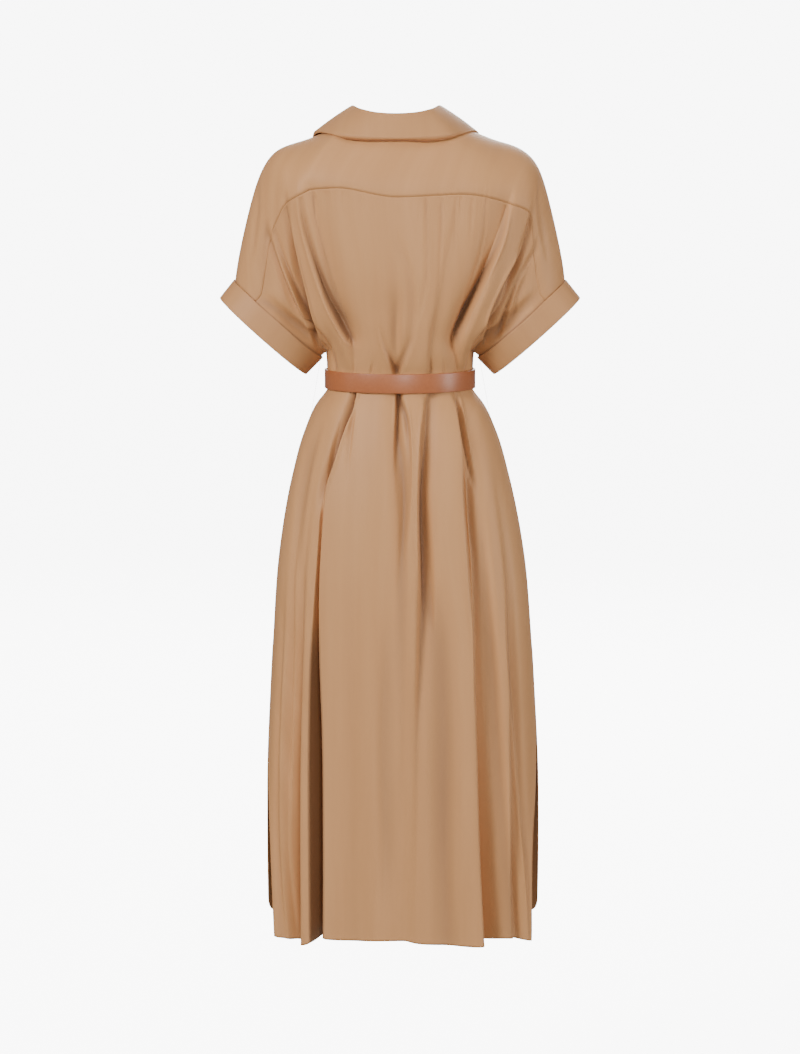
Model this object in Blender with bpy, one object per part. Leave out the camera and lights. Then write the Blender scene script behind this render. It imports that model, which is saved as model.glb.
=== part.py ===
"""Belted shirt dress, filled out as it is worn, with a saddle yoke and turned-back cuffs.

Metres, +Z up. The front faces +Y and the wearer's right side is at +X. The origin lies
between the shoulder points at the base of the neck, where the shoulders carry the dress.
"""

import math

import bmesh
import bpy
import numpy as np
from mathutils import Matrix, Vector

# ---------------------------------------------------------------- driving sizes
CLOTH = 0.0015            # wall of every cloth piece
SEAM_GAP = 0.0004         # left open between neighbouring pieces
LAYER_GAP = 0.0006        # left open between a piece and the panel it lies on

SLEEVE_TOP = (0.2460, -0.2280)      # x, z where the outer sleeve meets its cuff
SLEEVE_LOW = (0.1200, -0.3400)      # x, z where the under-sleeve meets its cuff
SLEEVE_DEPTH = 0.054                # half depth of the sleeve end, front to back
SLEEVE_TUCK = 0.003                 # length of sleeve hidden inside its cuff
CUFF_WIDTH = 0.035
CUFF_STAND = 0.0012                 # air between the two layers of the cuff
CUFF_FLARE = 0.0030                 # air between the sleeve and the cuff's upper edge

CUFF_TUCK = SLEEVE_TUCK + 3.0 * SEAM_GAP    # its inner layer starts this far down the sleeve
CUFF_STEPS = 28
CUFF_SOFT_EDGE = 0.7                # how much of the wall its folded edge narrows to, as a share

STAND_ROWS = 3
STAND_GAP = 0.0010                  # the stand starts this far above the neck seam
ROLL_TURN = 0.0055                  # the fall reaches this far down inside the roll line
ROLL_RADIUS = 0.0026                # how tightly the collar rolls over
ROLL_BENDS = 4
FALL_ROWS = 4
FALL_SWELL = 0.10                   # how round the fall is, as a share of its depth
FALL_LIFT = (0.6, 0.8)              # how far out and up it swells
FALL_REST = (0.0030, 0.0045)        # least and most height of its edge above the shoulders
FALL_RESTING = 3                    # rows by the edge that are kept clear of the shoulders
POINT_LIFT = 0.0030                 # how much higher the collar's points stand
POINT_PLACE = (0.6, 0.3)            # where that starts on the way to the end, and its reach

NECK_SHIFT = -0.006                 # the open neck sits a little to the wearer's left

BELT_TOP = -0.3585
BELT_BOTTOM = -0.3880
BELT_THICK = 0.0030
BELT_AIR = 0.0006
BELT_TRIM = 0.0004        # kept clear above and below the strap
BELT_START = 98.0         # where the strap starts round the waist, in degrees
BELT_LAP = 58.0           # how far its end laps past that
BELT_RISE = 24.0          # over which it climbs onto its own start
BELT_STEPS = 62
BUCKLE_HALF = 0.019       # half the width of the buckle
BUCKLE_WIRE = 0.0018
BUCKLE_AIR = 0.0008       # between the frame and the edges of the strap
BUCKLE_TILT = 0.0012      # how far the frame's free end stands off the single strap
BUCKLE_CORNER = 0.0040
CORNER_CUT = 0.3          # place of the middle point of a rounded corner, as a share of it
PRONG_WIRE = 0.0012
PRONG_PAST = (0.0020, 0.0030)       # how far the prong runs past each end of the frame
PRONG_ARCH = 0.0008       # how far the prong arches over the frame
KEEPER_PLACE = (118.0, 125.0)       # where the loop sits round the waist, in degrees
KEEPER_THICK = 0.0014
KEEPER_FOOT = 0.6 * BELT_THICK      # how far in its arms reach over the strap's edges
HEM = -1.2120

PLACKET_WIDTH = 0.030
PLACKET_COLUMNS = 5
PLACKET_FACING = 0.3      # how much of the fronts' sideways slope the strip follows
PLACKET_ROW = 5           # row of the front panels where the button strip starts
FRONT_UNDERLAP = 0.010    # the left front runs this far past the middle, under the strip
FRONT_SETBACK = 0.014     # the right front stops this far short of the middle
BUTTON_RADIUS = 0.0055
BUTTON_THICK = 0.0025
BUTTON_RIM = 0.0006
BUTTON_SIDES = 10
BUTTON_HEIGHTS = (        # first height, spacing and number above and below the belt
    (-0.200, 0.068, 3),
    (-0.430, 0.105, 6),
)

DRESS = "shirt_dress"     # name of the collection that holds every piece
CLOTH_FINISH = ((0.53, 0.34, 0.21), 0.6, 0.0)       # colour, roughness, metallic
LEATHER_FINISH = ((0.40, 0.17, 0.07), 0.4, 0.0)
BUTTON_FINISH = ((0.36, 0.22, 0.13), 0.35, 0.0)
METAL_FINISH = ((0.80, 0.62, 0.34), 0.25, 1.0)

BACK_COLUMNS = 62
PLEAT_COLUMNS = 14
FRONT_COLUMNS = 24
YOKE_ROWS = 9
NECK_ROWS = 4
BODICE_ROWS = 8
SKIRT_ROWS = 12
COLLAR_BODY = 8           # rows of each front that the collar may lie on

WELD = 1e-6               # points closer than this are one point
CLOTH_SHARP = 50.0        # edges turning more than this, in degrees, are shaded sharp
HARD_SHARP = 38.0         # the same for leather, buttons and metal
TAME = 1.6                # steepest tangent of a tame curve, as a multiple of its flatter side

# ---------------------------------------------------------------- sections of the skirt
# level z, half width, shift of the centre, depth at the back, depth at the front, squareness
SKIRT = (
    (-0.3585, 0.1100, 0.0000, 0.0870, 0.0870, 2.0),
    (-0.3900, 0.1100, 0.0000, 0.0870, 0.0870, 2.0),
    (-0.4100, 0.1250, 0.0000, 0.0940, 0.0920, 2.0),
    (-0.4520, 0.1445, 0.0005, 0.1060, 0.1020, 2.1),
    (-0.5200, 0.1640, 0.0010, 0.1170, 0.1110, 2.2),
    (-0.6400, 0.1860, 0.0025, 0.1260, 0.1180, 2.3),
    (-0.7700, 0.1965, 0.0035, 0.1280, 0.1200, 2.4),
    (-0.9000, 0.2030, 0.0040, 0.1280, 0.1210, 2.4),
    (-1.0600, 0.2090, 0.0045, 0.1280, 0.1220, 2.5),
    (HEM, 0.2110, 0.0045, 0.1280, 0.1230, 2.5),
)

# Lines down the cloth that the folds follow. "cloth" is the distance across the cut panel
# at the hem. The other columns give the line's place as a share of the half width.
SKIRT_LEVELS = (-0.3585, -0.5200, -0.6400, -0.7700, -0.9000, -1.0600, HEM)
BACK_LINES = (
    # name          cloth  waist   hip    thigh   knee   slit    calf    hem
    ("edge_left",   0.000, -1.000, -1.000, -1.000, -1.000, -0.995, -0.950, -0.905),
    ("c_left",      0.025, -0.960, -0.940, -0.930, -0.925, -0.925, -0.900, -0.850),
    ("b_left",      0.045, -0.900, -0.880, -0.870, -0.860, -0.860, -0.845, -0.800),
    ("ridge_left",  0.070, -0.750, -0.785, -0.790, -0.790, -0.785, -0.765, -0.750),
    ("pleat_left",  0.130, -0.665, -0.705, -0.690, -0.687, -0.686, -0.671, -0.660),
    ("panel_left",  0.330, -0.590, -0.655, -0.645, -0.630, -0.600, -0.580, -0.568),
    ("middle",      0.450, -0.060, 0.010, 0.000, -0.010, -0.020, -0.025, -0.030),
    ("inner_right", 0.535, 0.410, 0.186, 0.160, 0.135, 0.115, 0.100, 0.095),
    ("pleat_right", 0.620, 0.790, 0.587, 0.555, 0.560, 0.550, 0.540, 0.557),
    ("b_right",     0.680, 0.900, 0.740, 0.720, 0.715, 0.690, 0.700, 0.720),
    ("c_right",     0.715, 0.955, 0.870, 0.850, 0.840, 0.820, 0.800, 0.810),
    ("edge_right",  0.760, 1.000, 1.000, 1.000, 1.000, 0.990, 0.925, 0.905),
)
FRONT_LINES = (
    # from the centre front out to the side seam
    ("front_edge",  0.000, 0.000, 0.000, 0.000, 0.000, 0.000, 0.000, 0.000),
    ("fold_in",     0.110, 0.400, 0.330, 0.320, 0.310, 0.305, 0.300, 0.300),
    ("fold_mid",    0.200, 0.640, 0.560, 0.550, 0.545, 0.540, 0.535, 0.535),
    ("fold_out",    0.280, 0.850, 0.790, 0.780, 0.775, 0.770, 0.765, 0.760),
    ("side_seam",   0.350, 1.000, 1.000, 1.000, 1.000, 1.000, 0.985, 0.965),
)


# ---------------------------------------------------------------- shoulders and collar
# The shoulder line from the side of the neck to the cuff, for the wearer's right.
SHOULDER = (
    (0.0620, -0.0080, 0.0125), (0.0900, -0.0080, 0.0045), (0.1165, -0.0080, -0.0058),
    (0.1400, -0.0070, -0.0155), (0.1650, -0.0050, -0.0225), (0.1823, -0.0030, -0.0285),
    (0.1985, -0.0010, -0.0400), (0.2093, 0.0000, -0.0580), (0.2170, 0.0000, -0.0820),
    (0.2292, 0.0000, -0.1296), (0.2405, 0.0000, -0.1775), (0.2470, 0.0000, -0.2080),
)
# The back neck from its middle to the side of the neck, without the shift of the neck.
NECK = ((0.0000, -0.0640, 0.0010), (0.0300, -0.0600, 0.0030), (0.0540, -0.0420, 0.0085),
        (0.0680, -0.0080, 0.0125))
COLLAR_ROW = 3            # row of the front panels where the collar ends
# share of the way from the back to the collar's end, the roll line, the outer edge
COLLAR = (
    (0.00, (0.0000, -0.0610, 0.0255), (0.0000, -0.0815, -0.0115)),
    (0.15, (0.0300, -0.0555, 0.0272), (0.0480, -0.0790, -0.0100)),
    (0.28, (0.0520, -0.0370, 0.0320), (0.0880, -0.0620, -0.0065)),
    (0.40, (0.0635, -0.0010, 0.0346), (0.1180, -0.0120, -0.0025)),
    (0.52, (0.0640, 0.0290, 0.0180), (0.1270, 0.0300, -0.0130)),
    (0.65, (0.0570, 0.0570, -0.0180), (0.1270, 0.0600, -0.0400)),
    (0.82, (0.0430, 0.0860, -0.0620), (0.1150, 0.0840, -0.0820)),
    (1.00, (0.0260, 0.1130, -0.1100), (0.0860, 0.1100, -0.1280)),
)


# ---------------------------------------------------------------- curves
def unit(vectors):
    """The vectors scaled to length one."""
    length = np.linalg.norm(vectors, axis=-1, keepdims=True)
    return vectors / np.maximum(length, 1e-12)


def ease(value):
    """A smooth step from 0 to 1."""
    value = np.clip(value, 0.0, 1.0)
    return value * value * (3.0 - 2.0 * value)


def slopes(knots, values, tame):
    """Tangents for a curve through the values; a tame one never swings past them."""
    step = np.diff(knots).reshape((-1,) + (1,) * (values.ndim - 1))
    rise = np.diff(values, axis=0) / step
    tangent = np.empty_like(values)
    tangent[0], tangent[-1] = rise[0], rise[-1]
    before, after = step[:-1], step[1:]
    tangent[1:-1] = (rise[:-1] * after + rise[1:] * before) / (before + after)
    if tame:
        same_way = rise[:-1] * rise[1:] > 0.0
        limit = TAME * np.minimum(np.abs(rise[:-1]), np.abs(rise[1:]))
        held = np.clip(tangent[1:-1], -limit, limit)
        tangent[1:-1] = np.where(same_way, held, 0.0)
    return tangent


def curve(knots, values, at, tame=False):
    """A smooth curve through values given at the knots, read at the places in at."""
    knots = np.asarray(knots, float)
    values = np.asarray(values, float)
    at = np.clip(np.asarray(at, float), knots[0], knots[-1])
    tangent = slopes(knots, values, tame)
    span = np.clip(np.searchsorted(knots, at, side="right") - 1, 0, len(knots) - 2)
    width = knots[span + 1] - knots[span]
    t = (at - knots[span]) / width
    shape = t.shape + (1,) * (values.ndim - 1)
    t, width = t.reshape(shape), width.reshape(shape)
    return (
        (2 * t**3 - 3 * t**2 + 1) * values[span]
        + (t**3 - 2 * t**2 + t) * width * tangent[span]
        + (3 * t**2 - 2 * t**3) * values[span + 1]
        + (t**3 - t**2) * width * tangent[span + 1]
    )


def grid_normals(grid, outward):
    """Unit normals of a grid of points, on the side that outward points to."""
    down = np.gradient(grid, axis=0)
    across = np.gradient(grid, axis=1)
    normal = unit(np.cross(across, down))
    if np.sum(normal * outward) < 0.0:
        normal = -normal
    return normal


def sleeve_ring(degrees, along, side, grow=0.0):
    """Points round a sleeve end: 0 is its top, 90 its back, 180 its underside."""
    top = np.array((SLEEVE_TOP[0], 0.0, SLEEVE_TOP[1]))
    low = np.array((SLEEVE_LOW[0], 0.0, SLEEVE_LOW[1]))
    up = (top - low) / np.linalg.norm(top - low)
    out = np.array((up[2], 0.0, -up[0]))
    half = np.linalg.norm(top - low) / 2.0 + grow
    angle = np.radians(np.asarray(degrees, float))[..., None]
    along = np.asarray(along, float)[..., None]
    depth = np.array((0.0, -(SLEEVE_DEPTH + grow), 0.0))
    points = (top + low) / 2.0 + out * along + np.cos(angle) * half * up + np.sin(angle) * depth
    return points * np.array((side, 1.0, 1.0))


def skirt_point(level, angle, face):
    """A point of the skirt's section at a level; the angle runs from -90 to 90 across it."""
    rows = np.array(SKIRT)
    size = curve(-rows[:, 0], rows[:, 1:], -level)
    half, shift, power = size[..., 0], size[..., 1], size[..., 4]
    depth = size[..., 2] if face == "back" else -size[..., 3]
    turn = np.radians(np.clip(angle, -90.0, 90.0))
    away = depth * np.maximum(np.cos(turn), 0.0) ** (2.0 / power)
    return np.stack((shift + half * np.sin(turn), -away, level + 0.0 * away), -1)


# ---------------------------------------------------------------- sections of the bodice
# Places down a panel: 0 is the yoke seam, 1 the top of the belt, 2 the hem.
BODICE_LEVELS = (0.0, 0.45, 0.68, 0.84, 0.92, 1.0)
CUFF_TURN = (58.0, 95.0, 140.0, 180.0)      # round the sleeve end at the first four levels
UNDERARM = (0.1115, 0.0, -0.3340)

# Each row is a line down the cloth, with its x, y, z at the yoke seam, the shoulder blades,
# above the elbow folds, level with the cuff and at the underarm.
BACK_BODICE = (
    ("sleeve_left", 0.012, (-0.2075, -0.0475, -0.2460), (-0.1670, -0.0540, -0.2780),
     (-0.1250, -0.0390, -0.3150), (-0.1120, -0.0170, -0.3330), (-0.1095, -0.0140, -0.3335)),
    ("c_left", 0.025, (-0.1925, -0.0570, -0.1620), (-0.1570, -0.0620, -0.2580),
     (-0.1290, -0.0520, -0.3030), (-0.1080, -0.0350, -0.3260), (-0.1065, -0.0300, -0.3335)),
    ("b_left", 0.045, (-0.1680, -0.0800, -0.1060), (-0.1470, -0.0700, -0.2400),
     (-0.1240, -0.0640, -0.2930), (-0.1030, -0.0520, -0.3200), (-0.1010, -0.0450, -0.3330)),
    ("pleat_left", 0.130, (-0.1480, -0.0930, -0.0940), (-0.1210, -0.0895, -0.2155),
     (-0.1025, -0.0850, -0.2760), (-0.0865, -0.0785, -0.3110), (-0.0800, -0.0725, -0.3320)),
    ("panel_left", 0.330, (-0.1340, -0.0960, -0.0870), (-0.1040, -0.0950, -0.2120),
     (-0.0860, -0.0910, -0.2720), (-0.0720, -0.0840, -0.3090), (-0.0690, -0.0770, -0.3320)),
    ("blade_left", 0.385, (-0.0900, -0.1040, -0.0830), (-0.0620, -0.1045, -0.2120),
     (-0.0520, -0.0990, -0.2660), (-0.0430, -0.0950, -0.3050), (-0.0400, -0.0900, -0.3310)),
    ("middle", 0.450, (-0.0060, -0.1060, -0.0960), (-0.0060, -0.1080, -0.2150),
     (-0.0065, -0.1040, -0.2620), (-0.0070, -0.1000, -0.3020), (-0.0070, -0.0950, -0.3300)),
    ("inner_right", 0.535, (0.0900, -0.1040, -0.0925), (0.0640, -0.1040, -0.2170),
     (0.0560, -0.0990, -0.2660), (0.0490, -0.0930, -0.3040), (0.0465, -0.0880, -0.3310)),
    ("pleat_right", 0.620, (0.1600, -0.0880, -0.1067), (0.1190, -0.0900, -0.2350),
     (0.1020, -0.0840, -0.2780), (0.0885, -0.0770, -0.3120), (0.0865, -0.0690, -0.3320)),
    ("b_right", 0.680, (0.1940, -0.0660, -0.1250), (0.1500, -0.0690, -0.2600),
     (0.1240, -0.0630, -0.2970), (0.1035, -0.0520, -0.3200), (0.1010, -0.0450, -0.3330)),
    ("c_right", 0.715, (0.1985, -0.0560, -0.1800), (0.1590, -0.0620, -0.2690),
     (0.1290, -0.0520, -0.3050), (0.1080, -0.0350, -0.3260), (0.1065, -0.0300, -0.3335)),
    ("sleeve_right", 0.742, (0.2075, -0.0475, -0.2400), (0.1670, -0.0540, -0.2780),
     (0.1250, -0.0390, -0.3150), (0.1120, -0.0170, -0.3330), (0.1095, -0.0140, -0.3335)),
)
# The same for one half of the front, from the neckline and centre front out to the sleeve,
# with one more place at the foot of the neckline.
FRONT_LEVELS = (0.0, 0.28, 0.45, 0.68, 0.84, 0.92, 1.0)
FRONT_BODICE = (
    ("front_edge", 0.000, (0.0640, 0.0450, -0.0220), (0.0145, 0.1180, -0.1500),
     (0.0000, 0.1230, -0.2120), (0.0000, 0.1130, -0.2660), (0.0000, 0.1020, -0.3030),
     (0.0000, 0.0950, -0.3310)),
    ("fold_in", 0.110, (0.1050, 0.0440, -0.0360), (0.0720, 0.1130, -0.1350),
     (0.0600, 0.1200, -0.2120), (0.0520, 0.1080, -0.2680), (0.0470, 0.0960, -0.3040),
     (0.0455, 0.0880, -0.3310)),
    ("fold_mid", 0.200, (0.1550, 0.0470, -0.0580), (0.1280, 0.0930, -0.1420),
     (0.1080, 0.1020, -0.2250), (0.0940, 0.0900, -0.2760), (0.0830, 0.0780, -0.3110),
     (0.0820, 0.0680, -0.3320)),
    ("fold_out", 0.280, (0.1900, 0.0590, -0.1180), (0.1660, 0.0740, -0.2010),
     (0.1480, 0.0760, -0.2560), (0.1220, 0.0650, -0.2960), (0.1025, 0.0520, -0.3200),
     (0.1010, 0.0450, -0.3330)),
    ("crease", 0.315, (0.1985, 0.0550, -0.1780), (0.1760, 0.0620, -0.2320),
     (0.1580, 0.0640, -0.2680), (0.1290, 0.0520, -0.3050), (0.1080, 0.0350, -0.3260),
     (0.1065, 0.0300, -0.3335)),
    ("sleeve", 0.337, (0.2075, 0.0475, -0.2420), (0.1860, 0.0540, -0.2640),
     (0.1670, 0.0540, -0.2780), (0.1250, 0.0390, -0.3150), (0.1120, 0.0170, -0.3330),
     (0.1095, 0.0140, -0.3335)),
)

# Height of the hem at places across the cloth.
BACK_HEM = ((0.0, -1.216), (0.10, -1.213), (0.33, -1.209), (0.48, -1.208), (0.62, -1.213),
            (0.76, -1.222))
FRONT_HEM = ((0.0, -1.212), (0.20, -1.210), (0.29, -1.208), (0.35, -1.194))

# ---------------------------------------------------------------- folds
# Places down the panel where each fold's depth is given, in millimetres.
FOLD_LEVELS = (0.00, 0.45, 0.84, 0.97, 1.05, 1.13, 1.33, 1.50, 1.64, 1.83, 2.00)
# line, side of its ridge, soft width and sharp width (mm), ridge and lean as shares, depths
BACK_FOLDS = (
    ("sleeve_left", 1, 14, 8, 0.3, 0.0, (0, 6, 2, 0, 0, 0, 0, 0, 0, 0, 0)),
    ("c_left", 1, 9, 6, 0.5, 0.2, (3, 7, 4, 0, 0, 0, 0, 3, 5, 5, 5)),
    ("b_left", 1, 9, 5, 0.4, 0.2, (2, 6, 7, 3, 0, 0, 2, 5, 6, 5, 5)),
    ("ridge_left", 1, 16, 7, 0.2, 0.0, (0, 0, 0, 0, 0, 0, 4, 14, 22, 28, 32)),
    ("panel_left", -1, 22, 7, 0.5, 0.2, (4, 11, 12, 2, 0, 0, 0, 0, 0, 0, 0)),
    ("blade_left", 1, 26, 18, 0.2, 0.0, (1, 2, 2, 2, 2, 3, 3, 3, 3, 3, 3)),
    ("middle", 1, 14, 9, 0.2, 0.0, (0, 2, 8, 8, 6, 11, 5, 3, 2, 1, 0)),
    ("inner_right", -1, 16, 6, 0.4, 0.2, (1, 2, 4, 4, 4, 8, 12, 9, 6, 5, 5)),
    ("pleat_right", -1, 26, 6, 0.5, 0.2, (0, 0, 0, 0, 5, 13, 13, 17, 22, 30, 36)),
    ("pleat_right", 1, 24, 6, 0.5, 0.3, (4, 12, 14, 4, 0, 0, 0, 0, 0, 0, 0)),
    ("b_right", -1, 9, 5, 0.4, 0.2, (2, 7, 8, 3, 0, 0, 0, 0, 0, 0, 0)),
    ("c_right", -1, 12, 7, 0.3, 0.0, (2, 4, 3, 0, 0, 0, 4, 9, 12, 12, 9)),
    ("sleeve_right", -1, 14, 8, 0.3, 0.0, (0, 6, 2, 0, 0, 0, 0, 0, 0, 0, 0)),
)
FRONT_FOLDS = (
    ("front_edge", 1, 60, 60, 0.0, 0.0, (0, 0, 0, 3, 3.4, 0, 0, 0, 0, 0, 0)),
    ("fold_in", 1, 18, 8, 0.5, 0.2, (3, 4, 5, 5, 5, 11, 12, 12, 13, 14, 15)),
    ("fold_mid", -1, 22, 7, 0.5, 0.3, (3, 8, 9, 4, 4, 12, 13, 14, 16, 18, 20)),
    ("fold_out", 1, 14, 7, 0.5, 0.2, (2, 8, 8, 3, 3, 8, 10, 11, 12, 12, 12)),
    ("crease", 1, 12, 8, 0.3, 0.0, (3, 6, 3, 0, 0, 0, 0, 0, 0, 0, 0)),
)
# The deep pleat between two lines, with its depths at the same places.
PLEAT = ("pleat_left", "panel_left", (0, 0, 0, 0, 0, 2, 12, 45, 72, 90, 98))
RIM_RADIUS = 2.6          # least radius of the pleat's rims, in millimetres
RIM_MOST = 0.24           # longest rim, as a share of the pleat's cloth
FLOOR_RADII = (1.0, 4.0)  # least and greatest radius where the pleat turns back
FLOOR_MOST = 0.5          # longest floor, as a share of the pleat's cloth
EASE_LENGTH = 1.5         # an eased turn needs this much more cloth than an even one
PLEAT_STEPS = 160
PLEAT_ANGLES = (1.0, 89.0, 45)      # slopes of the pleat's sides that are tried, in degrees
# Share of the pleat's cloth at evenly spaced columns: closer at the rims and the floor.
PLEAT_SHARES = (0, 0.016, 0.035, 0.07, 0.25, 0.42, 0.47, 0.50, 0.53, 0.58, 0.75, 0.93, 0.965,
                0.984, 1)
EDGE_CALM = 0.016         # no fold is raised this near to the edge of a panel
BELT_DOWN = 1.0 + (BELT_TOP - (BELT_TOP + BELT_BOTTOM) / 2.0) / (BELT_TOP - HEM)
BELT_CALM = 0.030         # nor this far up and down the panel from the middle of the belt
BELT_STILL = 0.65         # share of that length over which the cloth is quite plain
CREST_PLACE = 1.7         # a ridge stands this many sharp widths beside its hollow
CREST_WIDTH = 1.1         # and is this many sharp widths wide on the hollow's side
PLEAT_SETTLED = 20.0      # depth, in millimetres, at which the pleat's columns are all in place
SEWN = 0.001              # edges closer than this are sewn to each other
COLUMN_CHECKS = (0.25, 0.60, 0.84, 1.13, 1.33, 1.50, 1.64, 1.83, 2.00)
TURN_SHARE = 0.8          # weight of a row's turning against its length
LAY_NEAR = 6              # nearest points that say where a surface lies
LAY_TIMES = 4             # how much denser than its own grid that surface is read
LAY_SOFT = 0.002          # keeps the weight of the nearest point within bounds
YOKE_CUFF_SHARE = 0.90    # beyond this place the yoke settles onto the sleeve's end
NECK_RISE = (0.6, 0.9)    # how much less forward and more upward the yoke runs into the neck


def hollow(distance, before, after):
    """A smooth dip of depth one with its own width on either side, all in millimetres."""
    width = np.where(distance < 0.0, before, after)
    return np.exp(-((distance / width) ** 2))


def side_line(down, side, sign):
    """The edge that front and back share: round the cuff, underarm, then side seam."""
    turn = curve(BODICE_LEVELS[:4], CUFF_TURN, down)
    ring = sleeve_ring(turn, SLEEVE_TUCK, side)
    ring[..., 1] *= sign
    underarm = np.array(UNDERARM) * np.array((side, 1.0, 1.0))
    waist = skirt_point(np.array(BELT_TOP), np.array(90.0 * side), "back")
    share = (down - BODICE_LEVELS[3]) / (BODICE_LEVELS[4] - BODICE_LEVELS[3])
    gusset = ring + (underarm - ring) * np.clip(share, 0.0, 1.0)[..., None]
    share = (down - BODICE_LEVELS[4]) / (1.0 - BODICE_LEVELS[4])
    return gusset + (waist - underarm) * np.clip(share, 0.0, 1.0)[..., None]


def line_angles(lines, cloth, overlap):
    """The angle round the skirt of each column of cloth at each of the skirt's levels."""
    share = np.array([line[2:] for line in lines], float)
    rows = np.array(SKIRT)
    half = curve(-rows[:, 0], rows[:, 1], -np.array(SKIRT_LEVELS))
    if lines is FRONT_LINES:
        share[0] -= overlap / half
    knots = [line[1] for line in lines]
    return curve(knots, np.degrees(np.arcsin(share)), cloth, tame=True)


def base_panel(face, side, cloth, down, overlap=0.0):
    """The panel without its folds: a grid of points, rows down and columns across."""
    lines = BACK_LINES if face == "back" else FRONT_LINES
    table = BACK_BODICE if face == "back" else FRONT_BODICE
    levels = BODICE_LEVELS if face == "back" else FRONT_LEVELS
    sign = 1.0 if face == "back" else -1.0
    angles = line_angles(lines, cloth, overlap) * side
    # skirt
    drop = np.clip(down - 1.0, 0.0, 1.0)
    level = BELT_TOP + (hem_line(face, cloth)[None, :] - BELT_TOP) * drop[:, None]
    turned = curve(-np.array(SKIRT_LEVELS), angles.T, -(BELT_TOP + (HEM - BELT_TOP) * drop))
    skirt = skirt_point(level, turned, face)
    # bodice
    mirror = np.array((side, 1.0, 1.0))
    knots = [row[1] for row in table]
    keys = np.array([row[2:] for row in table], float)
    if face == "front":
        keys[0, 2:, 0] -= overlap
    keys = keys * mirror
    ends = lines[-1][1]
    stations = np.array(levels[:-1])
    outer = side_line(stations, side, sign)[None]
    if face == "back":
        left = side_line(stations, -1.0, sign)[None]
        keys = np.concatenate((left, keys, outer))
        knots = [0.0] + knots + [ends]
    else:
        keys = np.concatenate((keys, outer))
        knots = knots + [ends]
    rows = curve(knots, keys, cloth, tame=True)
    waist = skirt_point(np.full(cloth.shape, BELT_TOP), angles[:, 0], face)
    rows = np.concatenate((rows, waist[:, None]), axis=1)
    bodice = curve(levels, rows.transpose(1, 0, 2), down)
    # the outermost columns follow the cuff exactly
    reach = ends - knots[-2]
    pull = np.clip((cloth - knots[-2]) / reach, 0.0, 1.0) ** 2
    exact = side_line(down, side, sign)
    bodice = bodice + pull[None, :, None] * (exact - bodice[:, -1])[:, None]
    if face == "back":
        pull = np.clip((knots[1] - cloth) / knots[1], 0.0, 1.0) ** 2
        exact = side_line(down, -1.0, sign)
        bodice = bodice + pull[None, :, None] * (exact - bodice[:, 0])[:, None]
    return np.where((down <= 1.0)[:, None, None], bodice, skirt)


def hem_line(face, cloth):
    """Height of the hem for each column of cloth."""
    table = np.array(BACK_HEM if face == "back" else FRONT_HEM)
    return curve(table[:, 0], table[:, 1], cloth)


def across_rows(face, side, cloth, down, overlap):
    """Distance along every row, in millimetres, at the columns and at the named lines."""
    lines = BACK_LINES if face == "back" else FRONT_LINES
    table = BACK_BODICE if face == "back" else FRONT_BODICE
    dense = np.linspace(0.0, lines[-1][1], 500)
    base = base_panel(face, side, dense, down, overlap)
    step = np.linalg.norm(np.diff(base, axis=1), axis=2)
    run = np.concatenate((np.zeros((len(down), 1)), np.cumsum(step, axis=1)), axis=1) * 1000.0
    places = {row[0]: row[1] for row in table + lines}
    at_line = {name: np.array([np.interp(x, dense, r) for r in run])[:, None]
               for name, x in places.items()}
    return np.array([np.interp(cloth, dense, r) for r in run]), at_line, run[:, -1:]


def pleat_section(width, length, share):
    """How far across and how deep the cloth of a pleat lies in each row, in millimetres.

    The cloth turns in over a round rim, runs to the floor, turns back and comes out again.
    Each row has its width and the length of its cloth; share is the place along the cloth.
    """
    along = np.linspace(0.0, 1.0, PLEAT_STEPS)[None, None, :]
    steep = np.radians(np.linspace(*PLEAT_ANGLES))[None, :, None]
    rim = np.minimum(EASE_LENGTH * RIM_RADIUS * steep / length[:, None, None], RIM_MOST)
    radius = np.clip(width / 2.0 - RIM_RADIUS, *FLOOR_RADII)
    back_turn = 2.0 * EASE_LENGTH * radius[:, None, None] * steep
    floor = np.minimum(back_turn / length[:, None, None], FLOOR_MOST)
    turn = steep * (ease(along / rim) - 2.0 * ease((along - 0.5) / floor + 0.5)
                    + ease((along - 1.0) / rim + 1.0))
    spread = np.cos(turn).mean(2)
    across, deep = np.empty(share.shape), np.empty(share.shape)
    for row in range(len(width)):
        wanted = width[row] / length[row]
        angle = np.interp(-wanted, -spread[row], np.arange(spread.shape[1]))
        low = min(int(angle), spread.shape[1] - 2)
        path = turn[row, low] + (turn[row, low + 1] - turn[row, low]) * (angle - low)
        reach = np.cumsum(np.cos(path)) - np.cos(path[0])
        drop = np.cumsum(np.sin(path))
        reach, drop = reach / reach[-1] * width[row], drop / PLEAT_STEPS * length[row]
        across[row] = np.interp(share[row], along[0, 0], reach)
        deep[row] = np.interp(share[row], along[0, 0], drop)
    return across, deep


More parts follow.
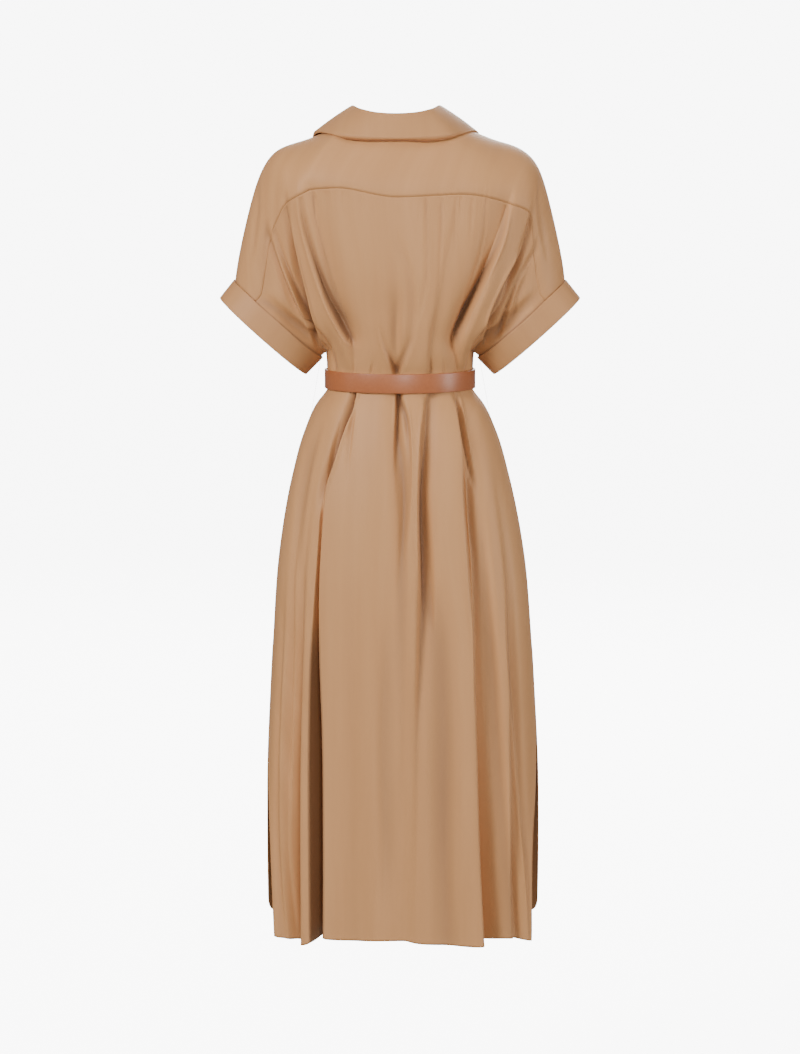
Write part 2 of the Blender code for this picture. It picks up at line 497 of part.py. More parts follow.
def fold_offsets(face, side, cloth, down, overlap):
    """How far each point moves outward and sideways for the folds, in metres."""
    run, at_line, total = across_rows(face, side, cloth, down, overlap)
    outward, sideways = np.zeros(run.shape), np.zeros(run.shape)
    calm_belt = ease(np.abs(down - BELT_DOWN) / BELT_CALM - BELT_STILL)[:, None]
    for name, way, soft, sharp, ridge, lean, depths in (
            BACK_FOLDS if face == "back" else FRONT_FOLDS):
        depth = curve(FOLD_LEVELS, np.array(depths, float), down, tame=True)[:, None]
        away = (run - at_line[name]) * way
        crest = hollow(away - CREST_PLACE * sharp, CREST_WIDTH * sharp, soft)
        outward += depth * (ridge * calm_belt * crest - hollow(away, soft, sharp))
        sideways -= depth * way * lean * calm_belt * hollow(away - sharp, sharp, soft)
    if face == "back":
        first, last, depths = PLEAT
        knots = {line[0]: line[1] for line in BACK_LINES}
        share = np.clip((cloth - knots[first]) / (knots[last] - knots[first]), 0.0, 1.0)
        width = (at_line[last] - at_line[first])[:, 0]
        depth = curve(FOLD_LEVELS, np.array(depths, float), down, tame=True)
        spread = np.interp(share, np.linspace(0.0, 1.0, len(PLEAT_SHARES)), PLEAT_SHARES)
        settled = ease(depth / PLEAT_SETTLED)[:, None]
        place = share + (spread - share) * settled
        across, deep = pleat_section(width, np.hypot(width, 2.0 * depth), place)
        inside = ((share > 0.0) & (share < 1.0)) & (depth > 0.01)[:, None]
        outward -= np.where(inside, deep, 0.0)
        sideways += np.where(inside, at_line[first] + across - run, 0.0)
    calm = ease((total - run) / (EDGE_CALM * 1000.0))
    if face == "back":
        calm = calm * ease(run / (EDGE_CALM * 1000.0))
    return outward * calm / 1000.0, sideways * calm / 1000.0


def panel(face, side, cloth, down, overlap=0.0):
    """A whole panel with its folds: its grid of points and their outward normals."""
    base = base_panel(face, side, cloth, down, overlap)
    outward = np.array((0.0, -1.0 if face == "back" else 1.0, 0.0))
    normal = grid_normals(base, outward)
    across = unit(np.gradient(base, axis=1))
    out, along = fold_offsets(face, side, cloth, down, overlap)
    grid = base + normal * out[..., None] + across * along[..., None]
    return grid, grid_normals(grid, outward)


def spread_columns(face, side, count, overlap=0.0, pleated=0):
    """Columns of cloth set closer where the folds turn most; the pleat has its own number."""
    lines = BACK_LINES if face == "back" else FRONT_LINES
    ends = lines[-1][1]
    dense = np.linspace(0.0, ends, 900)
    grid, _ = panel(face, side, dense, np.array(COLUMN_CHECKS), overlap)
    step = np.diff(grid, axis=1)
    length = np.linalg.norm(step, axis=2)
    turn = np.arccos(np.clip(np.sum(unit(step[:, 1:]) * unit(step[:, :-1]), axis=2), -1, 1))
    turn = np.concatenate((turn, turn[:, -1:]), axis=1)
    knots = {line[0]: line[1] for line in lines}
    first, last = (knots[PLEAT[0]], knots[PLEAT[1]]) if pleated else (ends, ends)
    inside = (dense[1:] > first) & (dense[1:] <= last)
    length, turn = np.where(inside, 0.0, length), np.where(inside, 0.0, turn)
    need = length / length.sum(1, keepdims=True) + TURN_SHARE * turn / turn.sum(1, keepdims=True)
    reach = np.concatenate(((0.0,), np.cumsum(need.mean(0))))
    if not pleated:
        return np.interp(np.linspace(0.0, reach[-1], count), reach, dense)
    split = np.interp(first, dense, reach)
    left = round((count - pleated - 1) * split / reach[-1])
    before, after = dense <= first + 1e-9, dense >= last - 1e-9
    return np.concatenate((
        np.interp(np.linspace(0.0, split, left + 1)[:-1], reach[before], dense[before]),
        np.linspace(first, last, pleated + 1),
        np.interp(np.linspace(split, reach[-1], count - pleated - left)[1:],
                  reach[after], dense[after])))


def rows_down(neck_rows, bodice_rows, skirt_rows):
    """Places of the rows from the yoke seam to the hem, closer together near the waist."""
    foot = FRONT_LEVELS[1]
    neck = np.linspace(0.0, foot, neck_rows + 1)[:-1]
    bodice = 1.0 - np.linspace(1.0, 0.0, bodice_rows + 1) ** 1.2 * (1.0 - foot)
    belt = (BELT_TOP - BELT_BOTTOM + 0.0008) / (BELT_TOP - HEM)
    skirt = 1.0 + belt + (1.0 - belt) * np.linspace(0.0, 1.0, skirt_rows) ** 1.3
    return np.concatenate((neck, bodice, skirt))


# ---------------------------------------------------------------- walls
def new_object(name, mesh, finish):
    """Put a finished mesh into the dress's collection with its own material."""
    colour, rough, metallic = finish
    material = bpy.data.materials.new(name)
    material.use_nodes = True
    shader = material.node_tree.nodes["Principled BSDF"]
    shader.inputs["Base Color"].default_value = (*colour, 1.0)
    shader.inputs["Roughness"].default_value = rough
    shader.inputs["Metallic"].default_value = metallic
    mesh.materials.append(material)
    bpy.data.collections[DRESS].objects.link(bpy.data.objects.new(name, mesh))


def finish_mesh(mesh, sharp):
    """Weld and close a mesh, turn its faces outward and shade it smooth up to an angle."""
    shape = bmesh.new()
    shape.from_mesh(mesh)
    loose = [vertex for vertex in shape.verts if not vertex.link_faces]
    bmesh.ops.delete(shape, geom=loose, context="VERTS")
    bmesh.ops.remove_doubles(shape, verts=shape.verts[:], dist=WELD)
    bmesh.ops.triangulate(shape, faces=shape.faces[:])
    bmesh.ops.recalc_face_normals(shape, faces=shape.faces[:])
    shape.to_mesh(mesh)
    shape.free()
    mesh.shade_smooth()
    mesh.set_sharp_from_angle(angle=math.radians(sharp))
    return mesh


def swept(name, rings, sharp, closed=False):
    """A solid through rings of points: each ring joined to the next, with its ends closed."""
    turns, count = len(rings), len(rings[0])
    faces = [(ring * count + i, ring * count + (i + 1) % count,
              (ring + 1) % turns * count + (i + 1) % count, (ring + 1) % turns * count + i)
             for ring in range(turns if closed else turns - 1) for i in range(count)]
    if not closed:
        faces += [tuple(range(count)), tuple((turns - 1) * count + i for i in range(count))]
    mesh = bpy.data.meshes.new(name)
    mesh.from_pydata([tuple(point) for ring in rings for point in ring], [], faces)
    return finish_mesh(mesh, sharp)


def grid_faces(rows, columns, keep=None):
    """Quads of a grid; keep tells which of its cells exist."""
    faces = []
    for row in range(rows - 1):
        for column in range(columns - 1):
            if keep is None or keep[row, column]:
                corner = row * columns + column
                faces.append((corner, corner + columns, corner + columns + 1, corner + 1))
    return faces


def wall(name, grid, normals, keep=None):
    """A cloth piece: the grid, the same grid moved inward, and a rim round every edge."""
    outer = grid.reshape(-1, 3)
    inner = outer - CLOTH * normals.reshape(-1, 3)
    faces = grid_faces(*grid.shape[:2], keep)
    count = len(outer)
    used = {}
    for face in faces:
        for start, end in zip(face, face[1:] + face[:1]):
            used[(start, end)] = used.get((start, end), 0) + 1
    rim = [(end, start, start + count, end + count)
           for start, end in used if (end, start) not in used]
    back = [tuple(corner + count for corner in reversed(face)) for face in faces]
    mesh = bpy.data.meshes.new(name)
    mesh.from_pydata(np.concatenate((outer, inner)).tolist(), [], faces + back + rim)
    return finish_mesh(mesh, CLOTH_SHARP)


def draw_back(grid, edge, towards):
    """Move a row or column of a grid away from its seam, towards its neighbour."""
    grid[edge] = grid[edge] + unit(grid[towards] - grid[edge]) * SEAM_GAP / 2.0


def denser(grid, times):
    """The grid with more rows and columns between its own, on straight lines."""
    for axis in (0, 1):
        count = grid.shape[axis]
        places = np.linspace(0.0, count - 1.0, (count - 1) * times + 1)
        low = np.minimum(places.astype(int), count - 2)
        part = (places - low).reshape((-1, 1, 1) if axis == 0 else (1, -1, 1))
        grid = grid.take(low, axis) * (1.0 - part) + grid.take(low + 1, axis) * part
    return grid


def lay_on(points, surface, least, most):
    """Move points along the surface's normals until they lie between two heights above it."""
    flat = np.concatenate([denser(grid, LAY_TIMES).reshape(-1, 3) for grid, _ in surface])
    ways = np.concatenate([unit(denser(way, LAY_TIMES)).reshape(-1, 3) for _, way in surface])
    placed = points.copy()
    for index in np.ndindex(points.shape[:2]):
        near = np.argsort(np.linalg.norm(flat - placed[index], axis=1))[:LAY_NEAR]
        weight = 1.0 / (np.linalg.norm(flat[near] - placed[index], axis=1) + LAY_SOFT) ** 2
        way = unit((ways[near] * weight[:, None]).sum(0))
        height = ((placed[index] - flat[near]) @ way * weight).sum() / weight.sum()
        placed[index] += way * (np.clip(height, least[index], most[index]) - height)
    return placed


# ---------------------------------------------------------------- shoulder yoke
def shoulder_points(place, side):
    """Points of the shoulder line; place runs from the neck, 0, to inside the cuff, 1."""
    end = sleeve_ring(0.0, SLEEVE_TUCK, 1.0)
    line = np.concatenate((np.array(SHOULDER), end[None]))
    if side < 0.0:
        line[0, 0] -= 2.0 * NECK_SHIFT
    line = line * np.array((side, 1.0, 1.0))
    step = np.linalg.norm(np.diff(line, axis=0), axis=1)
    knots = np.concatenate(((0.0,), np.cumsum(step) / step.sum()))
    return curve(knots, line, place)


def neck_points(share):
    """Points of the back neck; share runs from -1 at the left side to 1 at the right."""
    line = np.array(NECK)
    step = np.linalg.norm(np.diff(line, axis=0), axis=1)
    knots = np.concatenate(((0.0,), np.cumsum(step) / step.sum()))
    mirrored = line[:0:-1] * np.array((-1.0, 1.0, 1.0))
    knots = np.concatenate((-knots[:0:-1], knots))
    return curve(knots, np.concatenate((mirrored, line)), share) + np.array((NECK_SHIFT, 0, 0))


def run_along(points):
    """Share of the way along a row of points at each of them."""
    step = np.linalg.norm(np.diff(points, axis=0), axis=1)
    return np.concatenate(((0.0,), np.cumsum(step) / step.sum()))


def bridge(start, start_way, end, end_way, share):
    """Points of smooth arcs between two rows, leaving and arriving along the given ways."""
    span = np.linalg.norm(end - start, axis=1, keepdims=True)
    t = share[:, None, None]
    return (
        (2 * t**3 - 3 * t**2 + 1) * start
        + (t**3 - 2 * t**2 + t) * span * start_way
        + (3 * t**2 - 2 * t**3) * end
        + (t**3 - t**2) * span * end_way
    )


def yoke_surface(back_seam, back_way, front_seams, front_ways):
    """The yoke from the back seam over the shoulders to the two front seams.

    The middle columns stop at the neck, which is left out of the cells that exist.
    """
    rows, count, sleeve = YOKE_ROWS, len(back_seam), len(front_seams[0])
    neck_first, neck_last = sleeve - 1, count - sleeve
    top = np.empty((count, 3))
    way = np.tile(np.array((0.0, 1.0, 0.0)), (count, 1))
    places = {}
    for side, columns in ((-1.0, np.arange(neck_first, -1, -1)), (1.0, np.arange(neck_last, count))):
        front = front_seams[0 if side < 0.0 else 1]
        place = (run_along(back_seam[columns]) + run_along(front)) / 2.0
        top[columns] = shoulder_points(place, side)
        places[side] = (columns, place)
    neck = np.arange(neck_first, neck_last + 1)
    share = np.linspace(-1.0, 1.0, len(neck))
    top[neck] = neck_points(share)
    steep = 1.0 - np.abs(share) ** 2
    less, more = NECK_RISE
    way[neck] = unit(np.stack((0.0 * share, 1.0 - less * steep, more * steep), -1))
    half = rows // 2 + 1
    step = np.linspace(0.0, 1.0, half)
    grid = np.empty((rows, count, 3))
    grid[:half] = bridge(back_seam, back_way, top, way, step)
    for side, (columns, place) in places.items():
        front, front_way = front_seams[0 if side < 0.0 else 1], front_ways[0 if side < 0.0 else 1]
        grid[half - 1:, columns] = bridge(top[columns], way[columns], front, -front_way, step)
        turn = np.interp(np.arange(rows), (0, half - 1, rows - 1), (CUFF_TURN[0], 0, -CUFF_TURN[0]))
        exact = sleeve_ring(turn, SLEEVE_TUCK, side)
        pull = np.clip((place - YOKE_CUFF_SHARE) / (1.0 - YOKE_CUFF_SHARE), 0.0, 1.0) ** 2
        grid[:, columns] += pull[None, :, None] * (exact - grid[:, columns[-1]])[:, None]
    grid[half:, neck_first + 1:neck_last] = grid[half - 1, neck_first + 1:neck_last]
    keep = np.ones((rows - 1, count - 1), bool)
    keep[half - 1:, neck_first:neck_last] = False
    return grid, keep


# ---------------------------------------------------------------- cuffs
def cuff_mesh(name, side):
    """A band turned back over the sleeve end: its section swept round the sleeve."""
    layer, flare, middle = CUFF_STAND + CLOTH, CUFF_FLARE + CLOTH, CUFF_WIDTH / 2.0
    turn = CUFF_WIDTH - CLOTH
    soft = CUFF_SOFT_EDGE * CLOTH
    section = (
        # out from the sleeve's face, along the sleeve from the cuff's upper edge
        (-CLOTH, CUFF_TUCK), (-CLOTH, turn),
        (soft - CLOTH, CUFF_WIDTH), (layer - soft, CUFF_WIDTH),
        (layer, turn), ((layer + flare) / 2.0, middle), (flare, 0.0),
        (CUFF_FLARE, 0.0), ((CUFF_STAND + CUFF_FLARE) / 2.0, middle), (CUFF_STAND, turn - CLOTH),
        (0.0, turn - CLOTH), (0.0, CUFF_TUCK),
    )
    angles = np.linspace(0.0, 360.0, CUFF_STEPS, endpoint=False)
    rings = [sleeve_ring(angles, along, side, out) for out, along in section]
    return swept(name, rings, CLOTH_SHARP, closed=True)


# ---------------------------------------------------------------- collar
def collar_lines(share):
    """The roll line and the outer edge of the collar; share runs from -1 to 1."""
    knots = np.array([row[0] for row in COLLAR])
    knots = np.concatenate((-knots[:0:-1], knots))
    lines = []
    for place in (1, 2):
        half = np.array([row[place] for row in COLLAR])
        whole = np.concatenate((half[:0:-1] * np.array((-1.0, 1.0, 1.0)), half))
        lines.append(curve(knots, whole, share) + np.array((NECK_SHIFT, 0.0, 0.0)))
    return lines


def roll_frame(neckline, share):
    """The roll line, the outer edge, and the ways up and out square to the roll line."""
    roll, edge = collar_lines(share)
    run = unit(np.gradient(roll, axis=0))
    rise = roll - neckline
    rise = unit(rise - np.sum(rise * run, axis=1, keepdims=True) * run)
    out = edge - roll
    out = out - np.sum(out * run, axis=1, keepdims=True) * run
    out = unit(out - np.sum(out * rise, axis=1, keepdims=True) * rise)
    return roll, edge, rise, out


def stand_grid(neckline, share):
    """The stand: from just above the neck seam up to the start of the fall."""
    roll, _, rise, _ = roll_frame(neckline, share)
    foot = neckline + rise * STAND_GAP
    top = roll - rise * (ROLL_TURN + SEAM_GAP)
    step = np.linspace(0.0, 1.0, STAND_ROWS)[:, None, None]
    return foot + (top - foot) * step


def fall_grid(neckline, share):
    """The fall: up from the stand, round over the roll line and down to its outer edge."""
    roll, edge, rise, out = roll_frame(neckline, share)
    fallen = -np.sum((edge - roll) * rise, axis=1, keepdims=True)
    steep = np.arctan2(fallen, np.sum((edge - roll) * out, axis=1, keepdims=True))
    centre = roll + (out - rise) * ROLL_RADIUS
    bends = np.linspace(0.0, 1.0, ROLL_BENDS)[:, None, None]
    turn = math.pi - (math.pi / 2.0 + steep) * bends
    bend = centre + ROLL_RADIUS * (np.cos(turn) * out + np.sin(turn) * rise)
    step = np.linspace(0.0, 1.0, FALL_ROWS + 1)[1:, None, None]
    away = edge - bend[-1]
    swell = np.sin(step * math.pi) ** 0.8 * np.linalg.norm(away, axis=1)[None, :, None] * FALL_SWELL
    level, upward = FALL_LIFT
    lift = unit(away * np.array((1.0, 1.0, 0.0)))[None] * level + np.array((0.0, 0.0, upward))
    over = bend[-1] + away * step + swell * lift
    start = roll - rise * ROLL_TURN
    return np.concatenate((start[None], bend, over))


# ---------------------------------------------------------------- belt
def belt_point(degrees, out):
    """A point round the waist in plan, out from the cloth; 90 is the centre front."""
    angle = np.radians(degrees)
    half, depth = SKIRT[0][1] + BELT_AIR, SKIRT[0][3] + BELT_AIR
    point = np.stack((half * np.cos(angle), depth * np.sin(angle), 0.0 * angle), -1)
    way = unit(np.stack((np.cos(angle) / half, np.sin(angle) / depth, 0.0 * angle), -1))
    return point + way * np.asarray(out)[..., None], way


def belt_mesh(name):
    """A strap that starts at the buckle's bar, goes once round and laps over itself."""
    turn = np.linspace(BELT_START, BELT_START + 360.0 + BELT_LAP, BELT_STEPS)
    rise = ease((turn - (BELT_START + 360.0 - BELT_RISE)) / BELT_RISE)
    out = rise * (BELT_THICK + LAYER_GAP)
    near, _ = belt_point(turn, out)
    far, _ = belt_point(turn, out + BELT_THICK)
    low, high = np.array((0.0, 0.0, BELT_BOTTOM + BELT_TRIM)), np.array((0.0, 0.0, BELT_TOP - BELT_TRIM))
    rings = np.stack((near + low, far + low, far + high, near + high), axis=1)
    return swept(name, rings, HARD_SHARP)


# ---------------------------------------------------------------- button strip, buttons, buckle
def row_at(panel_grid, x):
    """Points of a panel's rows where they pass the given x."""
    points = []
    for row in panel_grid:
        order = np.argsort(row[:, 0])
        points.append([np.interp(x, row[order, 0], row[order, axis]) for axis in range(3)])
    return np.array(points)


def placket_grid(left, right, left_normals, right_normals):
    """The button strip: the fronts' own points on either side of the middle, moved out."""
    half = PLACKET_WIDTH / 2.0
    points, ways = [], []
    for x in np.linspace(-half, half, PLACKET_COLUMNS):
        on_left = x < FRONT_UNDERLAP
        grid, normals = (left, left_normals) if on_left else (right, right_normals)
        column = row_at(grid, x)
        points.append(column)
        nearest = np.array([np.argmin(np.abs(row[:, 0] - x)) for row in grid])
        ways.append(normals[np.arange(len(grid)), nearest])
    points, ways = np.array(points).transpose(1, 0, 2), np.array(ways).transpose(1, 0, 2)
    ways = unit(ways * np.array((PLACKET_FACING, 1.0, 1.0)))
    return points + ways * (LAYER_GAP + CLOTH), ways


def button_places(strip, ways):
    """Where each button sits: its centre and the way it faces."""
    middle, facing = strip[:, PLACKET_COLUMNS // 2], ways[:, PLACKET_COLUMNS // 2]
    order = np.argsort(middle[:, 2])
    places = []
    for first, pitch, count in BUTTON_HEIGHTS:
        for step in range(count):
            height = first - pitch * step
            point = [np.interp(height, middle[order, 2], middle[order, axis]) for axis in range(3)]
            way = [np.interp(height, middle[order, 2], facing[order, axis]) for axis in range(3)]
            places.append((np.array(point), unit(np.array(way))))
    return places


def button_mesh(name, point, way):
    """A flat round button with eased rims, standing on the strip."""
    shape = bmesh.new()
    bmesh.ops.create_cone(shape, cap_ends=True, segments=BUTTON_SIDES, radius1=BUTTON_RADIUS,
                          radius2=BUTTON_RADIUS, depth=BUTTON_THICK)
    rims = [edge for edge in shape.edges if abs(edge.verts[0].co.z - edge.verts[1].co.z) < WELD]
    bmesh.ops.bevel(shape, geom=rims, offset=BUTTON_RIM, segments=1, affect="EDGES")
    turn = Vector(way).to_track_quat("Z", "Y").to_matrix().to_4x4()
    seat = Vector(point + way * (SEAM_GAP + BUTTON_THICK / 2.0))
    bmesh.ops.transform(shape, matrix=Matrix.Translation(seat) @ turn, verts=shape.verts[:])
    mesh = bpy.data.meshes.new(name)
    shape.to_mesh(mesh)
    shape.free()
    return finish_mesh(mesh, HARD_SHARP)


def waist_spot(x, out, height):
    """A point in front of the waist at x, out from the cloth, at a height."""
    half = SKIRT[0][1] + BELT_AIR
    point, _ = belt_point(np.degrees(np.arccos(x / half)), np.array(out))
    return Vector((point[0], point[1], height))


def wire(name, points, radius, closed):
    """A bent metal wire through the points."""
    line = bpy.data.curves.new(name, "CURVE")
    line.dimensions = "3D"
    spline = line.splines.new("POLY")
    spline.points.add(len(points) - 1)
    for spot, point in zip(spline.points, points):
        spot.co = (*point, 1.0)
    spline.use_cyclic_u = closed
    line.bevel_depth = radius
    line.bevel_resolution = 2
    line.use_fill_caps = True
    thing = bpy.data.objects.new(name, line)
    bpy.data.collections[DRESS].objects.link(thing)
    mesh = bpy.data.meshes.new_from_object(thing.evaluated_get(bpy.context.evaluated_depsgraph_get()))
    bpy.data.objects.remove(thing)
    new_object(name, finish_mesh(mesh, HARD_SHARP), METAL_FINISH)


def buckle():
    """An open frame lying on the strap, with its prong across it."""
    lapped = 2.0 * BELT_THICK + LAYER_GAP + SEAM_GAP + BUCKLE_WIRE
    single = BELT_THICK + BUCKLE_TILT + SEAM_GAP + BUCKLE_WIRE
    top = BELT_TOP + BUCKLE_WIRE + BUCKLE_AIR
    bottom = BELT_BOTTOM - BUCKLE_WIRE - BUCKLE_AIR
    corner, cut = BUCKLE_CORNER, BUCKLE_CORNER * CORNER_CUT
    frame = []
    for x, out, inward in ((-BUCKLE_HALF, lapped, 1.0), (BUCKLE_HALF, single, -1.0)):
        ends = [(x + inward * corner, top), (x + inward * cut, top - cut), (x, top - corner),
                (x, bottom + corner), (x + inward * cut, bottom + cut), (x + inward * corner, bottom)]
        spots = [waist_spot(across, out, height) for across, height in ends]
        frame += spots if inward > 0.0 else spots[::-1]
    wire("buckle_frame", frame, BUCKLE_WIRE, True)
    above = BUCKLE_WIRE + SEAM_GAP + PRONG_WIRE
    arch = (lapped + single) / 2.0 + above + PRONG_ARCH
    prong = (
        # across the front, out from the cloth
        (-BUCKLE_HALF - PRONG_PAST[0], lapped + above),
        (-BUCKLE_HALF * 0.4, lapped + above),
        (BUCKLE_HALF * 0.5, arch),
        (BUCKLE_HALF + PRONG_PAST[1], single + above + PRONG_ARCH),
    )
    middle = (BELT_TOP + BELT_BOTTOM) / 2.0
    wire("buckle_prong", [waist_spot(x, out, middle) for x, out in prong], PRONG_WIRE, False)


def keeper_mesh(name):
    """The loop that holds the strap's end down: across both layers and over their edges."""
    face = 2.0 * BELT_THICK + LAYER_GAP + SEAM_GAP
    top, bottom = BELT_TOP + SEAM_GAP, BELT_BOTTOM - SEAM_GAP
    section = (
        # out from the cloth, height
        (KEEPER_FOOT, top), (face, top), (face, bottom), (KEEPER_FOOT, bottom),
        (KEEPER_FOOT, bottom - KEEPER_THICK), (face + KEEPER_THICK, bottom - KEEPER_THICK),
        (face + KEEPER_THICK, top + KEEPER_THICK), (KEEPER_FOOT, top + KEEPER_THICK),
    )
    rings = [[belt_point(turn, np.array(out))[0] + np.array((0.0, 0.0, height))
              for out, height in section] for turn in np.linspace(*KEEPER_PLACE, 3)]
    return swept(name, rings, HARD_SHARP)


# ---------------------------------------------------------------- the dress
def garment(down):
    """Every cloth surface of the dress, as grids of outer points with their normals."""
    start = down[:2]
    back_cloth = spread_columns("back", 1.0, BACK_COLUMNS, pleated=PLEAT_COLUMNS)
    back, back_normals = panel("back", 1.0, back_cloth, down)
    back_base = base_panel("back", 1.0, back_cloth, start)
    pieces = {"back": [back, back_normals, None]}
    seams, ways = [], []
    for name, side, overlap in (("front_left", -1.0, FRONT_UNDERLAP),
                                ("front_right", 1.0, -FRONT_SETBACK)):
        cloth = spread_columns("front", side, FRONT_COLUMNS, overlap)
        front, normals = panel("front", side, cloth, down, overlap)
        base = base_panel("front", side, cloth, start, overlap)
        pieces[name] = [front, normals, None]
        seams.append(front[0])
        ways.append(unit(base[0] - base[1]))
    grid, keep = yoke_surface(back[0], unit(back_base[0] - back_base[1]), seams, ways)
    pieces["yoke"] = [grid, grid_normals(grid, np.array((0.0, 0.0, 1.0))), keep]
    return pieces


def sew(pieces):
    """Give the edges that two pieces share one normal, then part them by the seam gap."""
    back, back_normals, _ = pieces["back"]
    yoke, yoke_normals, _ = pieces["yoke"]
    shared = unit(back_normals[0] + yoke_normals[0])
    back_normals[0] = yoke_normals[0] = shared
    draw_back(yoke, 0, 1)
    draw_back(back, 0, 1)
    edge_places = (
        # front, its columns on the yoke, the back's edge column and the one beside it
        ("front_left", np.arange(FRONT_COLUMNS - 1, -1, -1), 0, 1),
        ("front_right", np.arange(BACK_COLUMNS - FRONT_COLUMNS, BACK_COLUMNS), -1, -2),
    )
    for name, yoke_columns, back_column, back_next in edge_places:
        front, normals, _ = pieces[name]
        shared = unit(normals[0] + yoke_normals[-1, yoke_columns])
        normals[0] = yoke_normals[-1, yoke_columns] = shared
        draw_back(front, 0, 1)
        draw_back(yoke, (-1, yoke_columns), (-2, yoke_columns))
        sewn = np.linalg.norm(front[:, -1] - back[:, back_column], axis=1) < SEWN
        shared = unit(normals[sewn, -1] + back_normals[sewn, back_column])
        normals[sewn, -1] = back_normals[sewn, back_column] = shared
        draw_back(front, (slice(None), -1), (slice(None), -2))
        draw_back(back, (slice(None), back_column), (slice(None), back_next))


def add_wall(name, grid, outward):
    """A cloth piece from its grid of outer points and a direction that its face looks to."""
    new_object(name, wall(name, grid, grid_normals(grid, outward)), CLOTH_FINISH)


def collar(pieces):
    """The stand and the fall, on the neckline that the yoke and the fronts leave."""
    yoke, yoke_normals, _ = pieces["yoke"]
    left, left_normals, _ = pieces["front_left"]
    right, right_normals, _ = pieces["front_right"]
    half = YOKE_ROWS // 2
    neck_first, neck_last = FRONT_COLUMNS - 1, BACK_COLUMNS - FRONT_COLUMNS
    neckline = np.concatenate((
        left[COLLAR_ROW:0:-1, 0], yoke[:half:-1, neck_first],
        yoke[half, neck_first:neck_last + 1],
        yoke[half + 1:, neck_last], right[1:COLLAR_ROW + 1, 0]))
    share = 2.0 * run_along(neckline) - 1.0
    stand = stand_grid(neckline, share)
    add_wall("collar_stand", stand, np.array((NECK_SHIFT, 0.0, 0.0)) - stand)

    body = ((yoke, yoke_normals), (left[:COLLAR_BODY], left_normals[:COLLAR_BODY]),
            (right[:COLLAR_BODY], right_normals[:COLLAR_BODY]))
    fall = fall_grid(neckline, share)
    least, most = np.full(fall.shape[:2], -1.0), np.full(fall.shape[:2], 1.0)
    first, reach = POINT_PLACE
    lift = POINT_LIFT * ease((np.abs(share) - first) / reach)
    least[-FALL_RESTING:] = FALL_REST[0] + lift
    most[-1] = FALL_REST[1] + lift
    add_wall("collar", lay_on(fall, body, least, most), np.array((0.0, 0.0, 1.0)))


def buttoned_front(pieces):
    """The button strip down the middle of the fronts, with its buttons."""
    left, left_normals, _ = pieces["front_left"]
    right, right_normals, _ = pieces["front_right"]
    strip, facing = placket_grid(left[PLACKET_ROW:], right[PLACKET_ROW:],
                                 left_normals[PLACKET_ROW:], right_normals[PLACKET_ROW:])
    new_object("placket", wall("placket", strip, facing), CLOTH_FINISH)
    for index, (point, way) in enumerate(button_places(strip, facing), 1):
        name = f"button_{index}"
        new_object(name, button_mesh(name, point, way), BUTTON_FINISH)


def main():
    """Clear the scene and make every piece of the dress."""
    for old in list(bpy.data.objects):
        bpy.data.objects.remove(old, do_unlink=True)
    bpy.context.scene.collection.children.link(bpy.data.collections.new(DRESS))
    pieces = garment(rows_down(NECK_ROWS, BODICE_ROWS, SKIRT_ROWS))
    sew(pieces)
    for name, (grid, normals, keep) in pieces.items():
        new_object(name, wall(name, grid, normals, keep), CLOTH_FINISH)
    for name, side in (("cuff_left", -1.0), ("cuff_right", 1.0)):
        new_object(name, cuff_mesh(name, side), CLOTH_FINISH)
    collar(pieces)
    buttoned_front(pieces)
    new_object("belt", belt_mesh("belt"), LEATHER_FINISH)
    new_object("belt_keeper", keeper_mesh("belt_keeper"), LEATHER_FINISH)
    buckle()


if __name__ == "__main__":
    main()
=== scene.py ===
# %% [markdown]
# # A belted shirt dress
# The dress is modelled the way it is sewn: a back and two fronts hang from a saddle yoke, the
# sleeve ends are turned back into cuffs, a collar stands on the neckline and a leather belt
# gathers the waist. The imported solids are the pattern. Every cloth panel is drawn again here as
# a finer shell on the same sections, and then gets the small folds, hems and stitches that a
# solid is too coarse for. The first cell loads the solids and bakes their placement into their
# meshes.

# %% Load the frame
import math

import bmesh
import bpy
import numpy as np
from mathutils import Matrix, Vector
from mathutils.kdtree import KDTree


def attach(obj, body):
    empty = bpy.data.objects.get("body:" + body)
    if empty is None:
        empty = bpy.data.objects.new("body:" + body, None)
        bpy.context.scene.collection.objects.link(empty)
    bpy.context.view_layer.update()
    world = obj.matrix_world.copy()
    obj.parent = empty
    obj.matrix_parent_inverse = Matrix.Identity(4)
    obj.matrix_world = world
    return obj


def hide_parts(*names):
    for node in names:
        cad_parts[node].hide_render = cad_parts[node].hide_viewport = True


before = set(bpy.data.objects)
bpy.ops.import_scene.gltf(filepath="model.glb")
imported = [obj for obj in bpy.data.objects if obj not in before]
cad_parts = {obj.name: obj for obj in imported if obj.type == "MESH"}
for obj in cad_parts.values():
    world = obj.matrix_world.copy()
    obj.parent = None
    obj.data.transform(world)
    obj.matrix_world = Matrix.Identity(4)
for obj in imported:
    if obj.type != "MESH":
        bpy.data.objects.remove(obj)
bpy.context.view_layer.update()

# %% Helpers for objects and meshes
def put(name, data):
    """An object with the given data, put into the scene."""
    thing = bpy.data.objects.new(name, data)
    bpy.context.scene.collection.objects.link(thing)
    return thing


def finished_mesh(thing):
    """The object's mesh as its modifiers or its bevel leave it."""
    return bpy.data.meshes.new_from_object(
        thing.evaluated_get(bpy.context.evaluated_depsgraph_get()))


def from_shape(name, shape):
    """A new mesh from a bmesh, which is then let go."""
    mesh = bpy.data.meshes.new(name)
    shape.to_mesh(mesh)
    shape.free()
    return mesh


